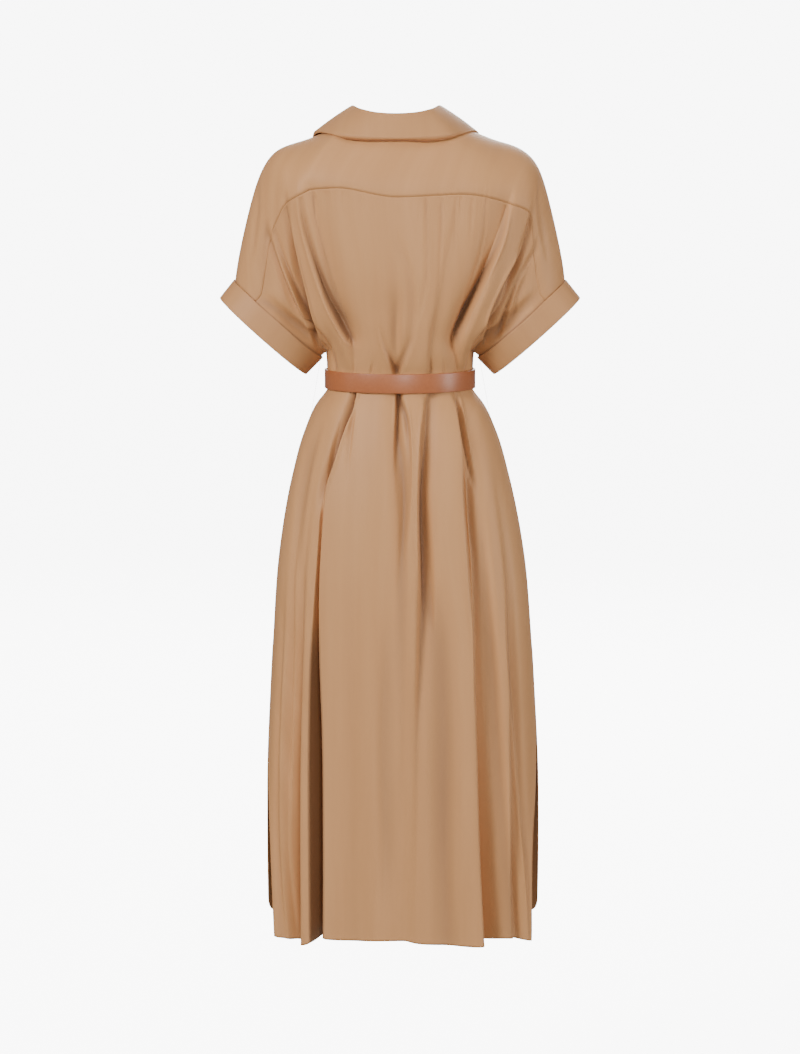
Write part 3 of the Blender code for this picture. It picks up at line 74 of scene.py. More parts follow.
def mend(mesh):
    """Weld the doubled points of a mesh and turn its faces outward."""
    shape = bmesh.new()
    shape.from_mesh(mesh)
    bmesh.ops.remove_doubles(shape, verts=shape.verts[:], dist=WELD)
    bmesh.ops.recalc_face_normals(shape, faces=shape.faces[:])
    shape.to_mesh(mesh)
    shape.free()


def coat(mesh, finish, angle=None):
    """Give a mesh its finish and smooth shading, with sharp edges above an angle in degrees."""
    mesh.materials.clear()
    mesh.materials.append(finish)
    mesh.shade_smooth()
    if angle:
        mesh.set_sharp_from_angle(angle=math.radians(angle))


def seated(spot, way):
    """The seat of a piece at a spot, with its upper side turned the given way."""
    turn = Vector(way).to_track_quat("Z", "Y").to_matrix().to_4x4()
    return Matrix.Translation(Vector(spot)) @ turn


def drilled(thing, seats, sides, radius, depth):
    """The thing's mesh with round holes cut through it at the given seats."""
    shape = bmesh.new()
    for seat in seats:
        bmesh.ops.create_cone(shape, cap_ends=True, segments=sides, radius1=radius,
                              radius2=radius, depth=depth, matrix=seat)
    cutter = put("drill", from_shape("drill", shape))
    thing.modifiers.new("drill", "BOOLEAN").object = cutter
    made = finished_mesh(thing)
    thing.modifiers.clear()
    bpy.data.objects.remove(cutter)
    return made


WELD = 1e-6  # points closer than this are one point
print("helpers ready")

# %% [markdown]
# ## Studio
# The dress is seen from behind, from a little above its middle, through a long lens that keeps
# its sides upright. A pale floor sweeps up into a wall, and large lamps give the even light of
# a clothes studio: the larger the lamp, the softer a fold's shadow.

# %% Camera
EYE = Vector((0.0, -5.7, 0.2))
AIM = Vector((0.0, 0.0, -0.6))
LENS = 129.75  # millimetres, on a 36 mm sensor

camera_data = bpy.data.cameras.new("rear_view")
camera_data.lens = LENS
camera = put("rear_view", camera_data)
camera.location = EYE
camera.rotation_euler = (AIM - EYE).to_track_quat("-Z", "Y").to_euler()
bpy.context.scene.camera = camera
print("camera", round((AIM - EYE).length, 2), "m from the dress")

# %% Floor and lamps
FLOOR = -1.55  # the hem is held well clear of the floor
BACKDROP_HALF = 9.0
BACKDROP_DEPTH = 9.0  # from the dress back to where the sweep turns up
BACKDROP_HIGH = 8.0
SWEEP_RADIUS = 2.0
BACKDROP_TONE = (0.93, 0.93, 0.93)
BACKDROP_GLOW = 8.6
# name, place, width, height, watts, tint
LAMPS = (
    ("key", (-3.5, -3.9, 2.0), 2.0, 2.2, 300.0, (1.0, 0.985, 0.96)),
    ("fill", (0.6, -6.0, 0.6), 1.4, 2.4, 135.0, (0.98, 0.99, 1.0)),
    ("top", (0.3, -0.8, 3.4), 2.0, 2.0, 30.0, (1.0, 1.0, 1.0)),
    ("left_strip", (-4.6, -1.6, 0.0), 0.5, 2.6, 10.0, (1.0, 0.99, 0.97)),
    ("right_side", (4.5, -1.9, 0.0), 1.2, 2.8, 115.0, (1.0, 0.99, 0.97)),
    ("front", (0.6, 4.6, 1.6), 2.6, 2.6, 240.0, (1.0, 0.99, 0.97)),
)
SKY = (0.92, 0.94, 0.97)
SKY_STRENGTH = 0.20


def backdrop_mesh():
    """A floor that turns up into a wall through a quarter circle, swept from side to side."""
    bend = [(BACKDROP_DEPTH + SWEEP_RADIUS * math.sin(turn),
             FLOOR + SWEEP_RADIUS * (1.0 - math.cos(turn)))
            for turn in np.linspace(0.0, math.pi / 2.0, 13)]
    profile = [(-BACKDROP_HALF, FLOOR), *bend, (bend[-1][0], FLOOR + BACKDROP_HIGH)]
    points = [(x, y, z) for x in (-BACKDROP_HALF, BACKDROP_HALF) for y, z in profile]
    count = len(profile)
    faces = [(i, count + i, count + i + 1, i + 1) for i in range(count - 1)]
    mesh = bpy.data.meshes.new("backdrop")
    mesh.from_pydata(points, [], faces)
    mesh.shade_smooth()
    return mesh


backdrop = put("backdrop", backdrop_mesh())
paper = bpy.data.materials.new("studio_paper")
paper.use_nodes = True
shader = paper.node_tree.nodes["Principled BSDF"]
for socket, value in (("Base Color", (*BACKDROP_TONE, 1.0)), ("Roughness", 0.9),
                      ("Emission Color", (*BACKDROP_TONE, 1.0)),
                      ("Emission Strength", BACKDROP_GLOW)):
    shader.inputs[socket].default_value = value
backdrop.data.materials.append(paper)
backdrop.visible_diffuse = False  # the bright paper doesn't flood the folds with its light
backdrop.visible_glossy = False

for name, place, width, height, watts, tint in LAMPS:
    lamp_data = bpy.data.lights.new(name, "AREA")
    lamp_data.shape, lamp_data.energy, lamp_data.color = "RECTANGLE", watts, tint
    lamp_data.size, lamp_data.size_y = width, height
    lamp = put(name, lamp_data)
    lamp.location = place
    lamp.rotation_euler = (AIM - Vector(place)).to_track_quat("-Z", "Y").to_euler()
world = bpy.data.worlds.new("studio")
world.use_nodes = True
world.node_tree.nodes["Background"].inputs["Color"].default_value = (*SKY, 1.0)
world.node_tree.nodes["Background"].inputs["Strength"].default_value = SKY_STRENGTH
bpy.context.scene.world = world
print(len(LAMPS), "lamps and a backdrop")

# %% [markdown]
# ## Finishes
# A finish is a small tree of nodes. The cloth is a smooth twill: two close browns drift along
# the warp, fine diagonal ribs make the weave, and a little sheen lights the edges of the folds.
# Shade is painted into its colour as well: a point attribute mixes in a darker brown along the
# folds and creases, inside the open pleat, under the cuffs' edges and over the cuffs and collar.
# The weave follows a UV map in metres across the cut panel, so the ribs bend with the folds.
# Leather, horn and metal read the object's own coordinates instead.

# %% Helpers for node trees
def new_finish(name, roughness, metallic=0.0, **sockets):
    """A material with its shader's constant sockets set; returns it, its tree and its shader."""
    finish = bpy.data.materials.new(name)
    finish.use_nodes = True
    tree = finish.node_tree
    bsdf = tree.nodes["Principled BSDF"]
    for socket, value in {"Roughness": roughness, "Metallic": metallic, **sockets}.items():
        bsdf.inputs[socket.replace("_", " ")].default_value = value
    return finish, tree, bsdf


def add(tree, kind, **settings):
    """A node; a setting is a property, the value of an input or a socket to link to it."""
    node = tree.nodes.new(kind)
    for key, value in settings.items():
        socket = key.replace("_", " ")
        if isinstance(value, bpy.types.NodeSocket):
            tree.links.new(value, node.inputs[socket])
        elif hasattr(node, key):
            setattr(node, key, value)
        else:
            node.inputs[socket].default_value = value
    return node


def stretched(tree, source, scale, turn=0.0):
    """Coordinates from a source, stretched and turned in the plane."""
    return add(tree, "ShaderNodeMapping", Vector=source, Scale=scale,
               Rotation=(0.0, 0.0, turn)).outputs["Vector"]


def two_tones(tree, factor, dark, light):
    """A colour that runs from dark to light as the factor runs from 0.3 to 0.7."""
    ramp = add(tree, "ShaderNodeValToRGB", Fac=factor)
    for end, place, tone in zip(ramp.color_ramp.elements, (0.3, 0.7), (dark, light)):
        end.position, end.color = place, (*tone, 1.0)
    return ramp.outputs["Color"]

# %% Cloth, thread, leather, horn and metal
CAMEL_LIGHT = (0.600, 0.297, 0.122)
CAMEL_DARK = (0.540, 0.258, 0.101)
# painted shade: the brown mixed into the cloth where it lies in a fold, crease or recess
FOLD_SHADE_BROWN = (0.226, 0.110, 0.056)
FOLD_SHADE_SHARE = 0.82  # how much of the painted fold shade shows at the bottom of a deep fold
MIX_A, MIX_B, MIX_RESULT = 6, 7, 2  # the colour sockets of a mix node
TWILL_PITCH = 0.0011  # metres from rib to rib
TWILL_TURN = math.radians(62.0)
TWILL_DEPTH = 0.00006
SLUB_DEPTH = 0.00010
BUMP = 0.35
# how finely the browns and the slubs repeat across the cloth and along it, for each metre
DRIFT = (26.0, 1.6, 1.0)
SLUBS = (900.0, 60.0, 1.0)
TONE_GRAIN = 0.12  # fineness of a finish's tones, as a share of that of its grain


def cloth_finish(name, light=CAMEL_LIGHT, dark=CAMEL_DARK):
    """Smooth twill: drifting browns, painted shade in the folds, diagonal ribs and faint slubs."""
    finish, tree, bsdf = new_finish(name, 0.55, Sheen_Weight=0.10, Sheen_Roughness=0.35,
                                    Specular_IOR_Level=0.30)
    bsdf.inputs["Sheen Tint"].default_value = (1.0, 0.86, 0.70, 1.0)
    place = add(tree, "ShaderNodeUVMap", uv_map="cloth").outputs["UV"]
    drift = add(tree, "ShaderNodeTexNoise", Scale=1.0, Detail=4.0, Roughness=0.55,
                Vector=stretched(tree, place, DRIFT))
    # painted shade: the point attribute 'fold' says how much of the fold brown is mixed in
    fold = add(tree, "ShaderNodeAttribute", attribute_name="fold")
    deep = add(tree, "ShaderNodeMath", operation="MULTIPLY")
    deep.inputs[1].default_value = FOLD_SHADE_SHARE
    tree.links.new(fold.outputs["Fac"], deep.inputs[0])
    shaded = add(tree, "ShaderNodeMix", data_type="RGBA", Factor=deep.outputs["Value"])
    tree.links.new(two_tones(tree, drift.outputs["Fac"], dark, light), shaded.inputs[MIX_A])
    shaded.inputs[MIX_B].default_value = (*FOLD_SHADE_BROWN, 1.0)
    tree.links.new(shaded.outputs[MIX_RESULT], bsdf.inputs["Base Color"])
    ribs = add(tree, "ShaderNodeTexWave", Scale=1.0 / TWILL_PITCH / (2.0 * math.pi),
               Distortion=0.4, Detail=1.0,
               Vector=stretched(tree, place, (1.0, 1.0, 1.0), TWILL_TURN))
    slubs = add(tree, "ShaderNodeTexNoise", Scale=1.0, Detail=3.0,
                Vector=stretched(tree, place, SLUBS))
    weave = add(tree, "ShaderNodeBump", Strength=BUMP, Distance=TWILL_DEPTH,
                Height=ribs.outputs["Fac"])
    uneven = add(tree, "ShaderNodeBump", Strength=BUMP, Distance=SLUB_DEPTH,
                 Height=slubs.outputs["Fac"], Normal=weave.outputs["Normal"])
    tree.links.new(uneven.outputs["Normal"], bsdf.inputs["Normal"])
    return finish


def object_finish(name, roughness, dark, light, grain, depth, stretch=(1.0, 1.0, 1.0), **sockets):
    """A finish whose two tones and fine relief come from noise in the object's own space."""
    finish, tree, bsdf = new_finish(name, roughness, **sockets)
    place = add(tree, "ShaderNodeTexCoord").outputs["Object"]
    tone, relief = (add(tree, "ShaderNodeTexNoise", Scale=scale, Detail=detail,
                        Vector=stretched(tree, place, stretch)).outputs["Fac"]
                    for scale, detail in ((grain * TONE_GRAIN, 4.0), (grain, 3.0)))
    tree.links.new(two_tones(tree, tone, dark, light), bsdf.inputs["Base Color"])
    bump = add(tree, "ShaderNodeBump", Strength=0.5, Distance=depth, Height=relief)
    tree.links.new(bump.outputs["Normal"], bsdf.inputs["Normal"])
    return finish


camel_twill = cloth_finish("camel_twill")
# roughness, dark and light tone, how fine the grain is and how deep
camel_thread = object_finish("camel_thread", 0.65, (0.47, 0.228, 0.090), (0.56, 0.275, 0.112),
                             2500.0, 0.00004, Sheen_Weight=0.2)
tan_leather = object_finish("tan_leather", 0.40, (0.37, 0.112, 0.036), (0.40, 0.124, 0.041),
                            1800.0, 0.00001, Coat_Weight=0.18, Coat_Roughness=0.25)
horn = object_finish("brown_horn", 0.28, (0.20, 0.10, 0.05), (0.42, 0.25, 0.14), 900.0, 0.00001,
                     (1.0, 1.0, 3.0), Coat_Weight=0.5, Coat_Roughness=0.12)
gilt = object_finish("pale_gilt", 0.24, (0.78, 0.58, 0.30), (0.86, 0.67, 0.38), 700.0, 0.00001,
                     metallic=1.0)
finishes = (camel_twill, camel_thread, tan_leather, horn, gilt)
print("finishes:", [item.name for item in finishes])

# %% [markdown]
# ## The pattern
# A garment is flat pieces sewn together, so the model starts from a pattern as well. Each panel
# has a coordinate across its cloth and one down it. A short table says where a few named lines
# of cloth pass at a few heights, and smooth curves fill in the rest. A fold drawn along a line
# stays on it from the shoulder to the hem, and a coarse grid and a fine one use the same tables.

# %% Curves and other small tools
def unit(vectors):
    """The vectors scaled to length one."""
    length = np.linalg.norm(vectors, axis=-1, keepdims=True)
    return vectors / np.maximum(length, TINY)


def ease(value):
    """A smooth step from 0 to 1."""
    value = np.clip(value, 0.0, 1.0)
    return value * value * (3.0 - 2.0 * value)


def slopes(knots, values, tame):
    """Tangents for a curve through the values; a tame one never swings past them."""
    step = np.diff(knots).reshape((-1,) + (1,) * (values.ndim - 1))
    rise = np.diff(values, axis=0) / step
    tangent = np.empty_like(values)
    tangent[0], tangent[-1] = rise[0], rise[-1]
    before, after = step[:-1], step[1:]
    tangent[1:-1] = (rise[:-1] * after + rise[1:] * before) / (before + after)
    if tame:
        same_way = rise[:-1] * rise[1:] > 0.0
        limit = TAME * np.minimum(np.abs(rise[:-1]), np.abs(rise[1:]))
        held = np.clip(tangent[1:-1], -limit, limit)
        tangent[1:-1] = np.where(same_way, held, 0.0)
    return tangent


def hermite(t, start, start_slope, end, end_slope):
    """A cubic from start to end with the slopes given there; t runs from 0 to 1."""
    return ((2 * t**3 - 3 * t**2 + 1) * start + (t**3 - 2 * t**2 + t) * start_slope
            + (3 * t**2 - 2 * t**3) * end + (t**3 - t**2) * end_slope)


def curve(knots, values, at, tame=False):
    """A smooth curve through values given at the knots, read at the places in at."""
    knots = np.asarray(knots, float)
    values = np.asarray(values, float)
    at = np.clip(np.asarray(at, float), knots[0], knots[-1])
    tangent = slopes(knots, values, tame)
    span = np.clip(np.searchsorted(knots, at, side="right") - 1, 0, len(knots) - 2)
    width = knots[span + 1] - knots[span]
    t = (at - knots[span]) / width
    shape = t.shape + (1,) * (values.ndim - 1)
    t, width = t.reshape(shape), width.reshape(shape)
    return hermite(t, values[span], width * tangent[span], values[span + 1],
                   width * tangent[span + 1])


def grid_normals(grid, outward):
    """Unit normals of a grid of points, on the side that outward points to."""
    normal = unit(np.cross(np.gradient(grid, axis=1), np.gradient(grid, axis=0)))
    return -normal if np.sum(normal * outward) < 0.0 else normal


def run_along(points):
    """Share of the way along a row of points at each of them."""
    step = np.linalg.norm(np.diff(points, axis=0), axis=1)
    return np.concatenate(((0.0,), np.cumsum(step) / step.sum()))


def edge_runs(grid, edge):
    """How far, in metres, each point of a grid lies from one of its edges."""
    axis = 0 if edge in ("first", "last") else 1
    step = np.linalg.norm(np.diff(grid, axis=axis), axis=2)
    run = np.insert(np.cumsum(step, axis=axis), 0, 0.0, axis=axis)
    return run if edge in ("first", "left") else np.take(run, (-1,), axis) - run


def read_at(at, knots, points):
    """Points read from a row by a value that each of its points has, in any order."""
    order = np.argsort(knots)
    return np.stack([np.interp(at, knots[order], points[order, axis]) for axis in range(3)], -1)


def square_to(vectors, axis):
    """What is left of the vectors square to an axis, scaled to length one."""
    return unit(vectors - np.sum(vectors * axis, axis=-1, keepdims=True) * axis)


def both_sides(knots, half, share):
    """A curve through half a neckline and its mirror image; share runs from -1 to 1."""
    whole = np.concatenate((half[:0:-1] * np.array((-1.0, 1.0, 1.0)), half))
    knots = np.concatenate((-knots[:0:-1], knots))
    return curve(knots, whole, share) + np.array((NECK_SHIFT, 0.0, 0.0))


def to_line(points, line):
    """From each point to each stretch of a line: how far, where along it and the way back."""
    start, step = line[:-1], np.diff(line, axis=0)
    away = points[:, None] - start
    along = np.clip(np.sum(away * step, -1) / np.maximum(np.sum(step**2, -1), TINY), 0.0, 1.0)
    away = away - along[..., None] * step
    return np.linalg.norm(away, axis=-1), along, away


print("tools ready")

# %% Sizes of the dress
CLOTH = 0.0015  # wall of every cloth piece
SEAM_GAP = 0.0004  # left open between neighbouring pieces
LAYER_GAP = 0.0006  # left open between a piece and the panel it lies on

SLEEVE_TOP = (0.2460, -0.2280)  # x, z where the outer sleeve meets its cuff
SLEEVE_LOW = (0.1200, -0.3400)  # x, z where the under-sleeve meets its cuff
SLEEVE_DEPTH = 0.054  # half depth of the sleeve end, front to back
SLEEVE_TUCK = 0.003  # length of sleeve hidden inside its cuff
CUFF_WIDTH = 0.035
CUFF_STAND = 0.0012  # air between the two layers of the cuff
CUFF_FLARE = 0.0030  # air between the sleeve and the cuff's upper edge
CUFF_TUCK = SLEEVE_TUCK + 3.0 * SEAM_GAP  # its inner layer starts this far down the sleeve

STAND_GAP = 0.0010  # the stand starts this far above the neck seam
ROLL_TURN = 0.0055  # the fall reaches this far down inside the roll line
ROLL_RADIUS = 0.0026  # how tightly the collar rolls over
FALL_SWELL = 0.03  # how round the fall is, as a share of its depth
FALL_POWER = 0.8  # below one, the swell is fuller towards its ends
FALL_LIFT = (0.6, 0.8)  # how far out and up it swells
FALL_REST = (0.0020, 0.0032)  # least and most height of its edge above the shoulders
POINT_LIFT = 0.0030  # how much higher the collar's points stand
POINT_PLACE = (0.6, 0.3)  # where that starts on the way to the end, and its reach
NECK_SHIFT = -0.006  # the open neck sits a little to the wearer's left

BELT_TOP = -0.3585
BELT_BOTTOM = -0.3880
BELT_THICK = 0.0030
BELT_AIR = 0.0006
BELT_TRIM = 0.0004  # kept clear above and below the strap
BELT_START = 98.0  # where the strap starts round the waist, in degrees
BELT_LAP = 58.0  # how far its end laps past that
BELT_RISE = 24.0  # over which it climbs onto its own start
BUCKLE_HALF = 0.019  # half its width
BUCKLE_WIRE = 0.0018
BUCKLE_AIR = 0.0008  # between the frame and the edges of the strap
BUCKLE_TILT = 0.0012  # how far the frame's free end stands off the single strap
BUCKLE_CORNER = 0.0040
PRONG_WIRE = 0.0012
PRONG_PAST = (0.0020, 0.0030)  # how far the prong runs past each end of the frame
PRONG_ARCH = 0.0008  # how far it arches over the frame
PRONG_BENDS = (-0.4, 0.5)  # where it starts to rise and is highest, as shares of BUCKLE_HALF
KEEPER_PLACE = (118.0, 125.0)  # where the loop sits round the waist, in degrees
KEEPER_THICK = 0.0014
KEEPER_FOOT = 0.6 * BELT_THICK  # how far in its arms reach over the strap's edges

HEM = -1.2120
PLACKET_WIDTH = 0.030
PLACKET_FACING = 0.3  # how much of the fronts' sideways slope the strip follows
FRONT_UNDERLAP = 0.010  # the left front runs this far past the middle, under the strip
FRONT_SETBACK = 0.014  # the right front stops this far short of the middle
BUTTON_RADIUS = 0.0055
BUTTON_THICK = 0.0025
BUTTON_HEIGHTS = (  # first height, spacing and number above and below the belt
    (-0.200, 0.068, 3),
    (-0.430, 0.105, 6),
)

TINY = 1e-12  # keeps a division from failing
TAME = 1.6  # steepest tangent of a tame curve, as a multiple of its flatter side
RIM_RADIUS = 2.6  # least radius of the pleat's rims, in millimetres
RIM_MOST = 0.24  # longest rim, as a share of the pleat's cloth
FLOOR_RADII = (1.0, 4.0)  # least and greatest radius where the pleat turns back
FLOOR_MOST = 0.5  # longest floor, as a share of the pleat's cloth
EASE_LENGTH = 1.5  # an eased turn needs this much more cloth than an even one
PLEAT_STEPS = 160  # steps along the pleat's section
PLEAT_ANGLES = (1.0, 89.0, 45)  # slopes of the pleat's sides that are tried, in degrees
EDGE_CALM = 0.016  # no fold is raised this near to the edge of a panel
BELT_DOWN = 1.0 + (BELT_TOP - (BELT_TOP + BELT_BOTTOM) / 2.0) / (BELT_TOP - HEM)
BELT_CALM = 0.030  # nor this far up and down the panel from the middle of the belt
BELT_STILL = 0.65  # share of that length over which the cloth is quite plain
CREST_PLACE = 1.7  # a ridge stands this many sharp widths beside its hollow
CREST_WIDTH = 1.1  # and is this many sharp widths wide on the hollow's side
PLEAT_SHUT = 0.01  # depth, in millimetres, below which the pleat is shut
PLEAT_SETTLED = 20.0  # depth, in millimetres, at which the pleat's columns are all in place
# levels at which the spacing of the columns is worked out
COLUMN_CHECKS = (0.25, 0.60, 0.84, 1.13, 1.33, 1.50, 1.64, 1.83, 2.00)
TURN_SHARE = 0.8  # weight of a row's turning against its length
YOKE_CUFF_SHARE = 0.90  # beyond this place the yoke settles onto the sleeve's end
NECK_RISE = (0.6, 0.9)  # how much less forward and more upward the yoke runs into the neck
PLEAT_RIM = 0.045  # share of the pleat's cloth over which creases fade out inside it

# %% Sections of the skirt
# height, half width, shift to the right, depth behind and in front, squareness
SKIRT = (
    (-0.3585, 0.1100, 0.0000, 0.0870, 0.0870, 2.0),
    (-0.3900, 0.1100, 0.0000, 0.0870, 0.0870, 2.0),
    (-0.4100, 0.1250, 0.0000, 0.0940, 0.0920, 2.0),
    (-0.4520, 0.1445, 0.0005, 0.1060, 0.1020, 2.1),
    (-0.5200, 0.1640, 0.0010, 0.1170, 0.1110, 2.2),
    (-0.6400, 0.1860, 0.0025, 0.1260, 0.1180, 2.3),
    (-0.7700, 0.1965, 0.0035, 0.1280, 0.1200, 2.4),
    (-0.9000, 0.2040, 0.0040, 0.1280, 0.1210, 2.4),
    (-1.0600, 0.2125, 0.0045, 0.1280, 0.1220, 2.5),
    (HEM, 0.2165, 0.0045, 0.1280, 0.1230, 2.5),
)
# a line's place on the cloth, then across the skirt, as a share of its half width, at each level
SKIRT_LEVELS = (-0.3585, -0.5200, -0.6400, -0.7700, -0.9000, -1.0600, HEM)
BACK_LINES = (
    # name          cloth  waist   hip    thigh   knee   slit    calf    hem
    ("edge_left",   0.000, -1.000, -1.000, -1.000, -1.000, -0.995, -0.950, -0.905),
    ("c_left",      0.025, -0.960, -0.940, -0.930, -0.925, -0.925, -0.900, -0.850),
    ("b_left",      0.045, -0.900, -0.880, -0.870, -0.860, -0.860, -0.845, -0.800),
    ("ridge_left",  0.070, -0.750, -0.785, -0.790, -0.790, -0.785, -0.765, -0.750),
    ("pleat_left",  0.130, -0.665, -0.705, -0.690, -0.702, -0.695, -0.672, -0.655),
    ("panel_left",  0.330, -0.590, -0.655, -0.645, -0.621, -0.580, -0.553, -0.546),
    ("middle",      0.450, -0.060, 0.010, 0.000, -0.010, -0.020, -0.025, -0.030),
    ("inner_right", 0.535, 0.410, 0.186, 0.160, 0.135, 0.115, 0.100, 0.095),
    ("pleat_right", 0.620, 0.790, 0.587, 0.555, 0.560, 0.550, 0.540, 0.557),
    ("b_right",     0.680, 0.900, 0.740, 0.720, 0.715, 0.690, 0.700, 0.720),
    ("c_right",     0.715, 0.955, 0.870, 0.850, 0.840, 0.820, 0.800, 0.810),
    ("edge_right",  0.760, 1.000, 1.000, 1.000, 1.000, 0.990, 0.925, 0.905),
)
FRONT_LINES = (
    # from the centre front out to the side seam
    ("front_edge",  0.000, 0.000, 0.000, 0.000, 0.000, 0.000, 0.000, 0.000),
    ("fold_in",     0.110, 0.400, 0.330, 0.320, 0.310, 0.305, 0.300, 0.300),
    ("fold_mid",    0.200, 0.640, 0.560, 0.550, 0.545, 0.540, 0.535, 0.535),
    ("fold_out",    0.280, 0.850, 0.790, 0.780, 0.775, 0.770, 0.765, 0.760),
    ("side_seam",   0.350, 1.000, 1.000, 1.000, 1.000, 1.000, 0.985, 0.965),
)
print("skirt:", len(SKIRT), "sections,", len(BACK_LINES) + len(FRONT_LINES), "lines of cloth")

# %% Lines of the bodice and the hem
BODICE_LEVELS = (0.0, 0.45, 0.68, 0.84, 0.92, 1.0)  # from the yoke seam, 0, to the belt, 1
CUFF_TURN = (58.0, 95.0, 140.0, 180.0)  # round the sleeve end at the first four levels
UNDERARM = (0.1115, 0.0, -0.3340)  # where the sleeve's underside meets the side seam
# name and place of the line on the cloth, then its x, y, z in millimetres at each level
BACK_BODICE = (
    ("sleeve_left", 0.012, (-207.5, -47.5, -246), (-167, -54, -278), (-125, -39, -315),
     (-112, -17, -333), (-109.5, -14, -333.5)),
    ("c_left", 0.025, (-192.5, -57, -162), (-157, -62, -258), (-129, -52, -303), (-108, -35, -326),
     (-106.5, -30, -333.5)),
    ("b_left", 0.045, (-168, -80, -106), (-147, -70, -240), (-124, -64, -293), (-103, -52, -320),
     (-101, -45, -333)),
    ("pleat_left", 0.130, (-148, -93, -94), (-121, -89.5, -215.5), (-102.5, -85, -276),
     (-86.5, -78.5, -311), (-80, -72.5, -332)),
    ("panel_left", 0.330, (-134, -96, -87), (-104, -95, -212), (-86, -91, -272), (-72, -84, -309),
     (-69, -77, -332)),
    ("blade_left", 0.385, (-90, -104, -83), (-62, -104.5, -212), (-52, -99, -266),
     (-43, -95, -305), (-40, -90, -331)),
    ("middle", 0.450, (-6, -106, -96), (-6, -108, -215), (-6.5, -104, -262), (-7, -100, -302),
     (-7, -95, -330)),
    ("inner_right", 0.535, (90, -104, -92.5), (64, -104, -217), (56, -99, -266), (49, -93, -304),
     (46.5, -88, -331)),
    ("pleat_right", 0.620, (160, -88, -106.7), (119, -90, -235), (102, -84, -278),
     (88.5, -77, -312), (86.5, -69, -332)),
    ("b_right", 0.680, (194, -66, -125), (150, -69, -260), (124, -63, -297), (103.5, -52, -320),
     (101, -45, -333)),
    ("c_right", 0.715, (198.5, -56, -180), (159, -62, -269), (129, -52, -305), (108, -35, -326),
     (106.5, -30, -333.5)),
    ("sleeve_right", 0.742, (207.5, -47.5, -240), (167, -54, -278), (125, -39, -315),
     (112, -17, -333), (109.5, -14, -333.5)),
)
FRONT_LEVELS = (0.0, 0.28, 0.45, 0.68, 0.84, 0.92, 1.0)
FRONT_BODICE = (
    ("front_edge", 0.000, (64, 45, -22), (14.5, 118, -150), (0, 123, -212), (0, 113, -266),
     (0, 102, -303), (0, 95, -331)),
    ("fold_in", 0.110, (105, 44, -36), (72, 113, -135), (60, 120, -212), (52, 108, -268),
     (47, 96, -304), (45.5, 88, -331)),
    ("fold_mid", 0.200, (155, 47, -58), (128, 93, -142), (108, 102, -225), (94, 90, -276),
     (83, 78, -311), (82, 68, -332)),
    ("fold_out", 0.280, (190, 59, -118), (166, 74, -201), (148, 76, -256), (122, 65, -296),
     (102.5, 52, -320), (101, 45, -333)),
    ("crease", 0.315, (198.5, 55, -178), (176, 62, -232), (158, 64, -268), (129, 52, -305),
     (108, 35, -326), (106.5, 30, -333.5)),
    ("sleeve", 0.337, (207.5, 47.5, -242), (186, 54, -264), (167, 54, -278), (125, 39, -315),
     (112, 17, -333), (109.5, 14, -333.5)),
)
# place on the cloth and height of the hem
BACK_HEM = ((0.0, -1.2195), (0.10, -1.2240), (0.14, -1.2200), (0.23, -1.2020), (0.32, -1.2120),
            (0.48, -1.2115), (0.62, -1.2205), (0.68, -1.2165), (0.76, -1.2265))
FRONT_HEM = ((0.0, -1.212), (0.20, -1.210), (0.29, -1.208), (0.35, -1.194))
# for each face its lines, bodice, levels and side of the dress
PANELS = {"back": (BACK_LINES, BACK_BODICE, BODICE_LEVELS, 1.0),
          "front": (FRONT_LINES, FRONT_BODICE, FRONT_LEVELS, -1.0)}
print("bodice:", len(BACK_BODICE) + len(FRONT_BODICE), "lines of cloth")

# %% [markdown]
# ## Panels without their folds
# The skirt's sections are rounded shapes between a circle and a box, like a skirt that hangs
# from the hips. Above the belt the panel follows the bodice table. Its outer edge goes round
# the end of the sleeve, along the underarm and down the side seam; back and front share it.

# %% Base panels
def sleeve_ring(degrees, along, side, grow=0.0):
    """Points round a sleeve end: 0 is its top, 90 its back, 180 its underside."""
    top = np.array((SLEEVE_TOP[0], 0.0, SLEEVE_TOP[1]))
    low = np.array((SLEEVE_LOW[0], 0.0, SLEEVE_LOW[1]))
    up = (top - low) / np.linalg.norm(top - low)
    out = np.array((up[2], 0.0, -up[0]))
    half = np.linalg.norm(top - low) / 2.0 + grow
    angle = np.radians(np.asarray(degrees, float))[..., None]
    along = np.asarray(along, float)[..., None]
    depth = np.array((0.0, -(SLEEVE_DEPTH + grow), 0.0))
    points = (top + low) / 2.0 + out * along + np.cos(angle) * half * up + np.sin(angle) * depth
    return points * np.array((side, 1.0, 1.0))


def skirt_point(level, angle, face):
    """A point of the skirt's section at a level; the angle runs from -90 to 90 across it."""
    rows = np.array(SKIRT)
    size = curve(-rows[:, 0], rows[:, 1:], -level)
    half, shift, power = size[..., 0], size[..., 1], size[..., 4]
    depth = size[..., 2] if face == "back" else -size[..., 3]
    turn = np.radians(np.clip(angle, -90.0, 90.0))
    away = depth * np.maximum(np.cos(turn), 0.0) ** (2.0 / power)
    return np.stack((shift + half * np.sin(turn), -away, level + 0.0 * away), -1)


def side_line(down, side, sign):
    """The edge that front and back share: round the cuff, underarm, then side seam."""
    turn = curve(BODICE_LEVELS[:4], CUFF_TURN, down)
    ring = sleeve_ring(turn, SLEEVE_TUCK, side)
    ring[..., 1] *= sign
    underarm = np.array(UNDERARM) * np.array((side, 1.0, 1.0))
    waist = skirt_point(np.array(BELT_TOP), np.array(90.0 * side), "back")
    share = (down - BODICE_LEVELS[3]) / (BODICE_LEVELS[4] - BODICE_LEVELS[3])
    gusset = ring + (underarm - ring) * np.clip(share, 0.0, 1.0)[..., None]
    share = (down - BODICE_LEVELS[4]) / (1.0 - BODICE_LEVELS[4])
    return gusset + (waist - underarm) * np.clip(share, 0.0, 1.0)[..., None]


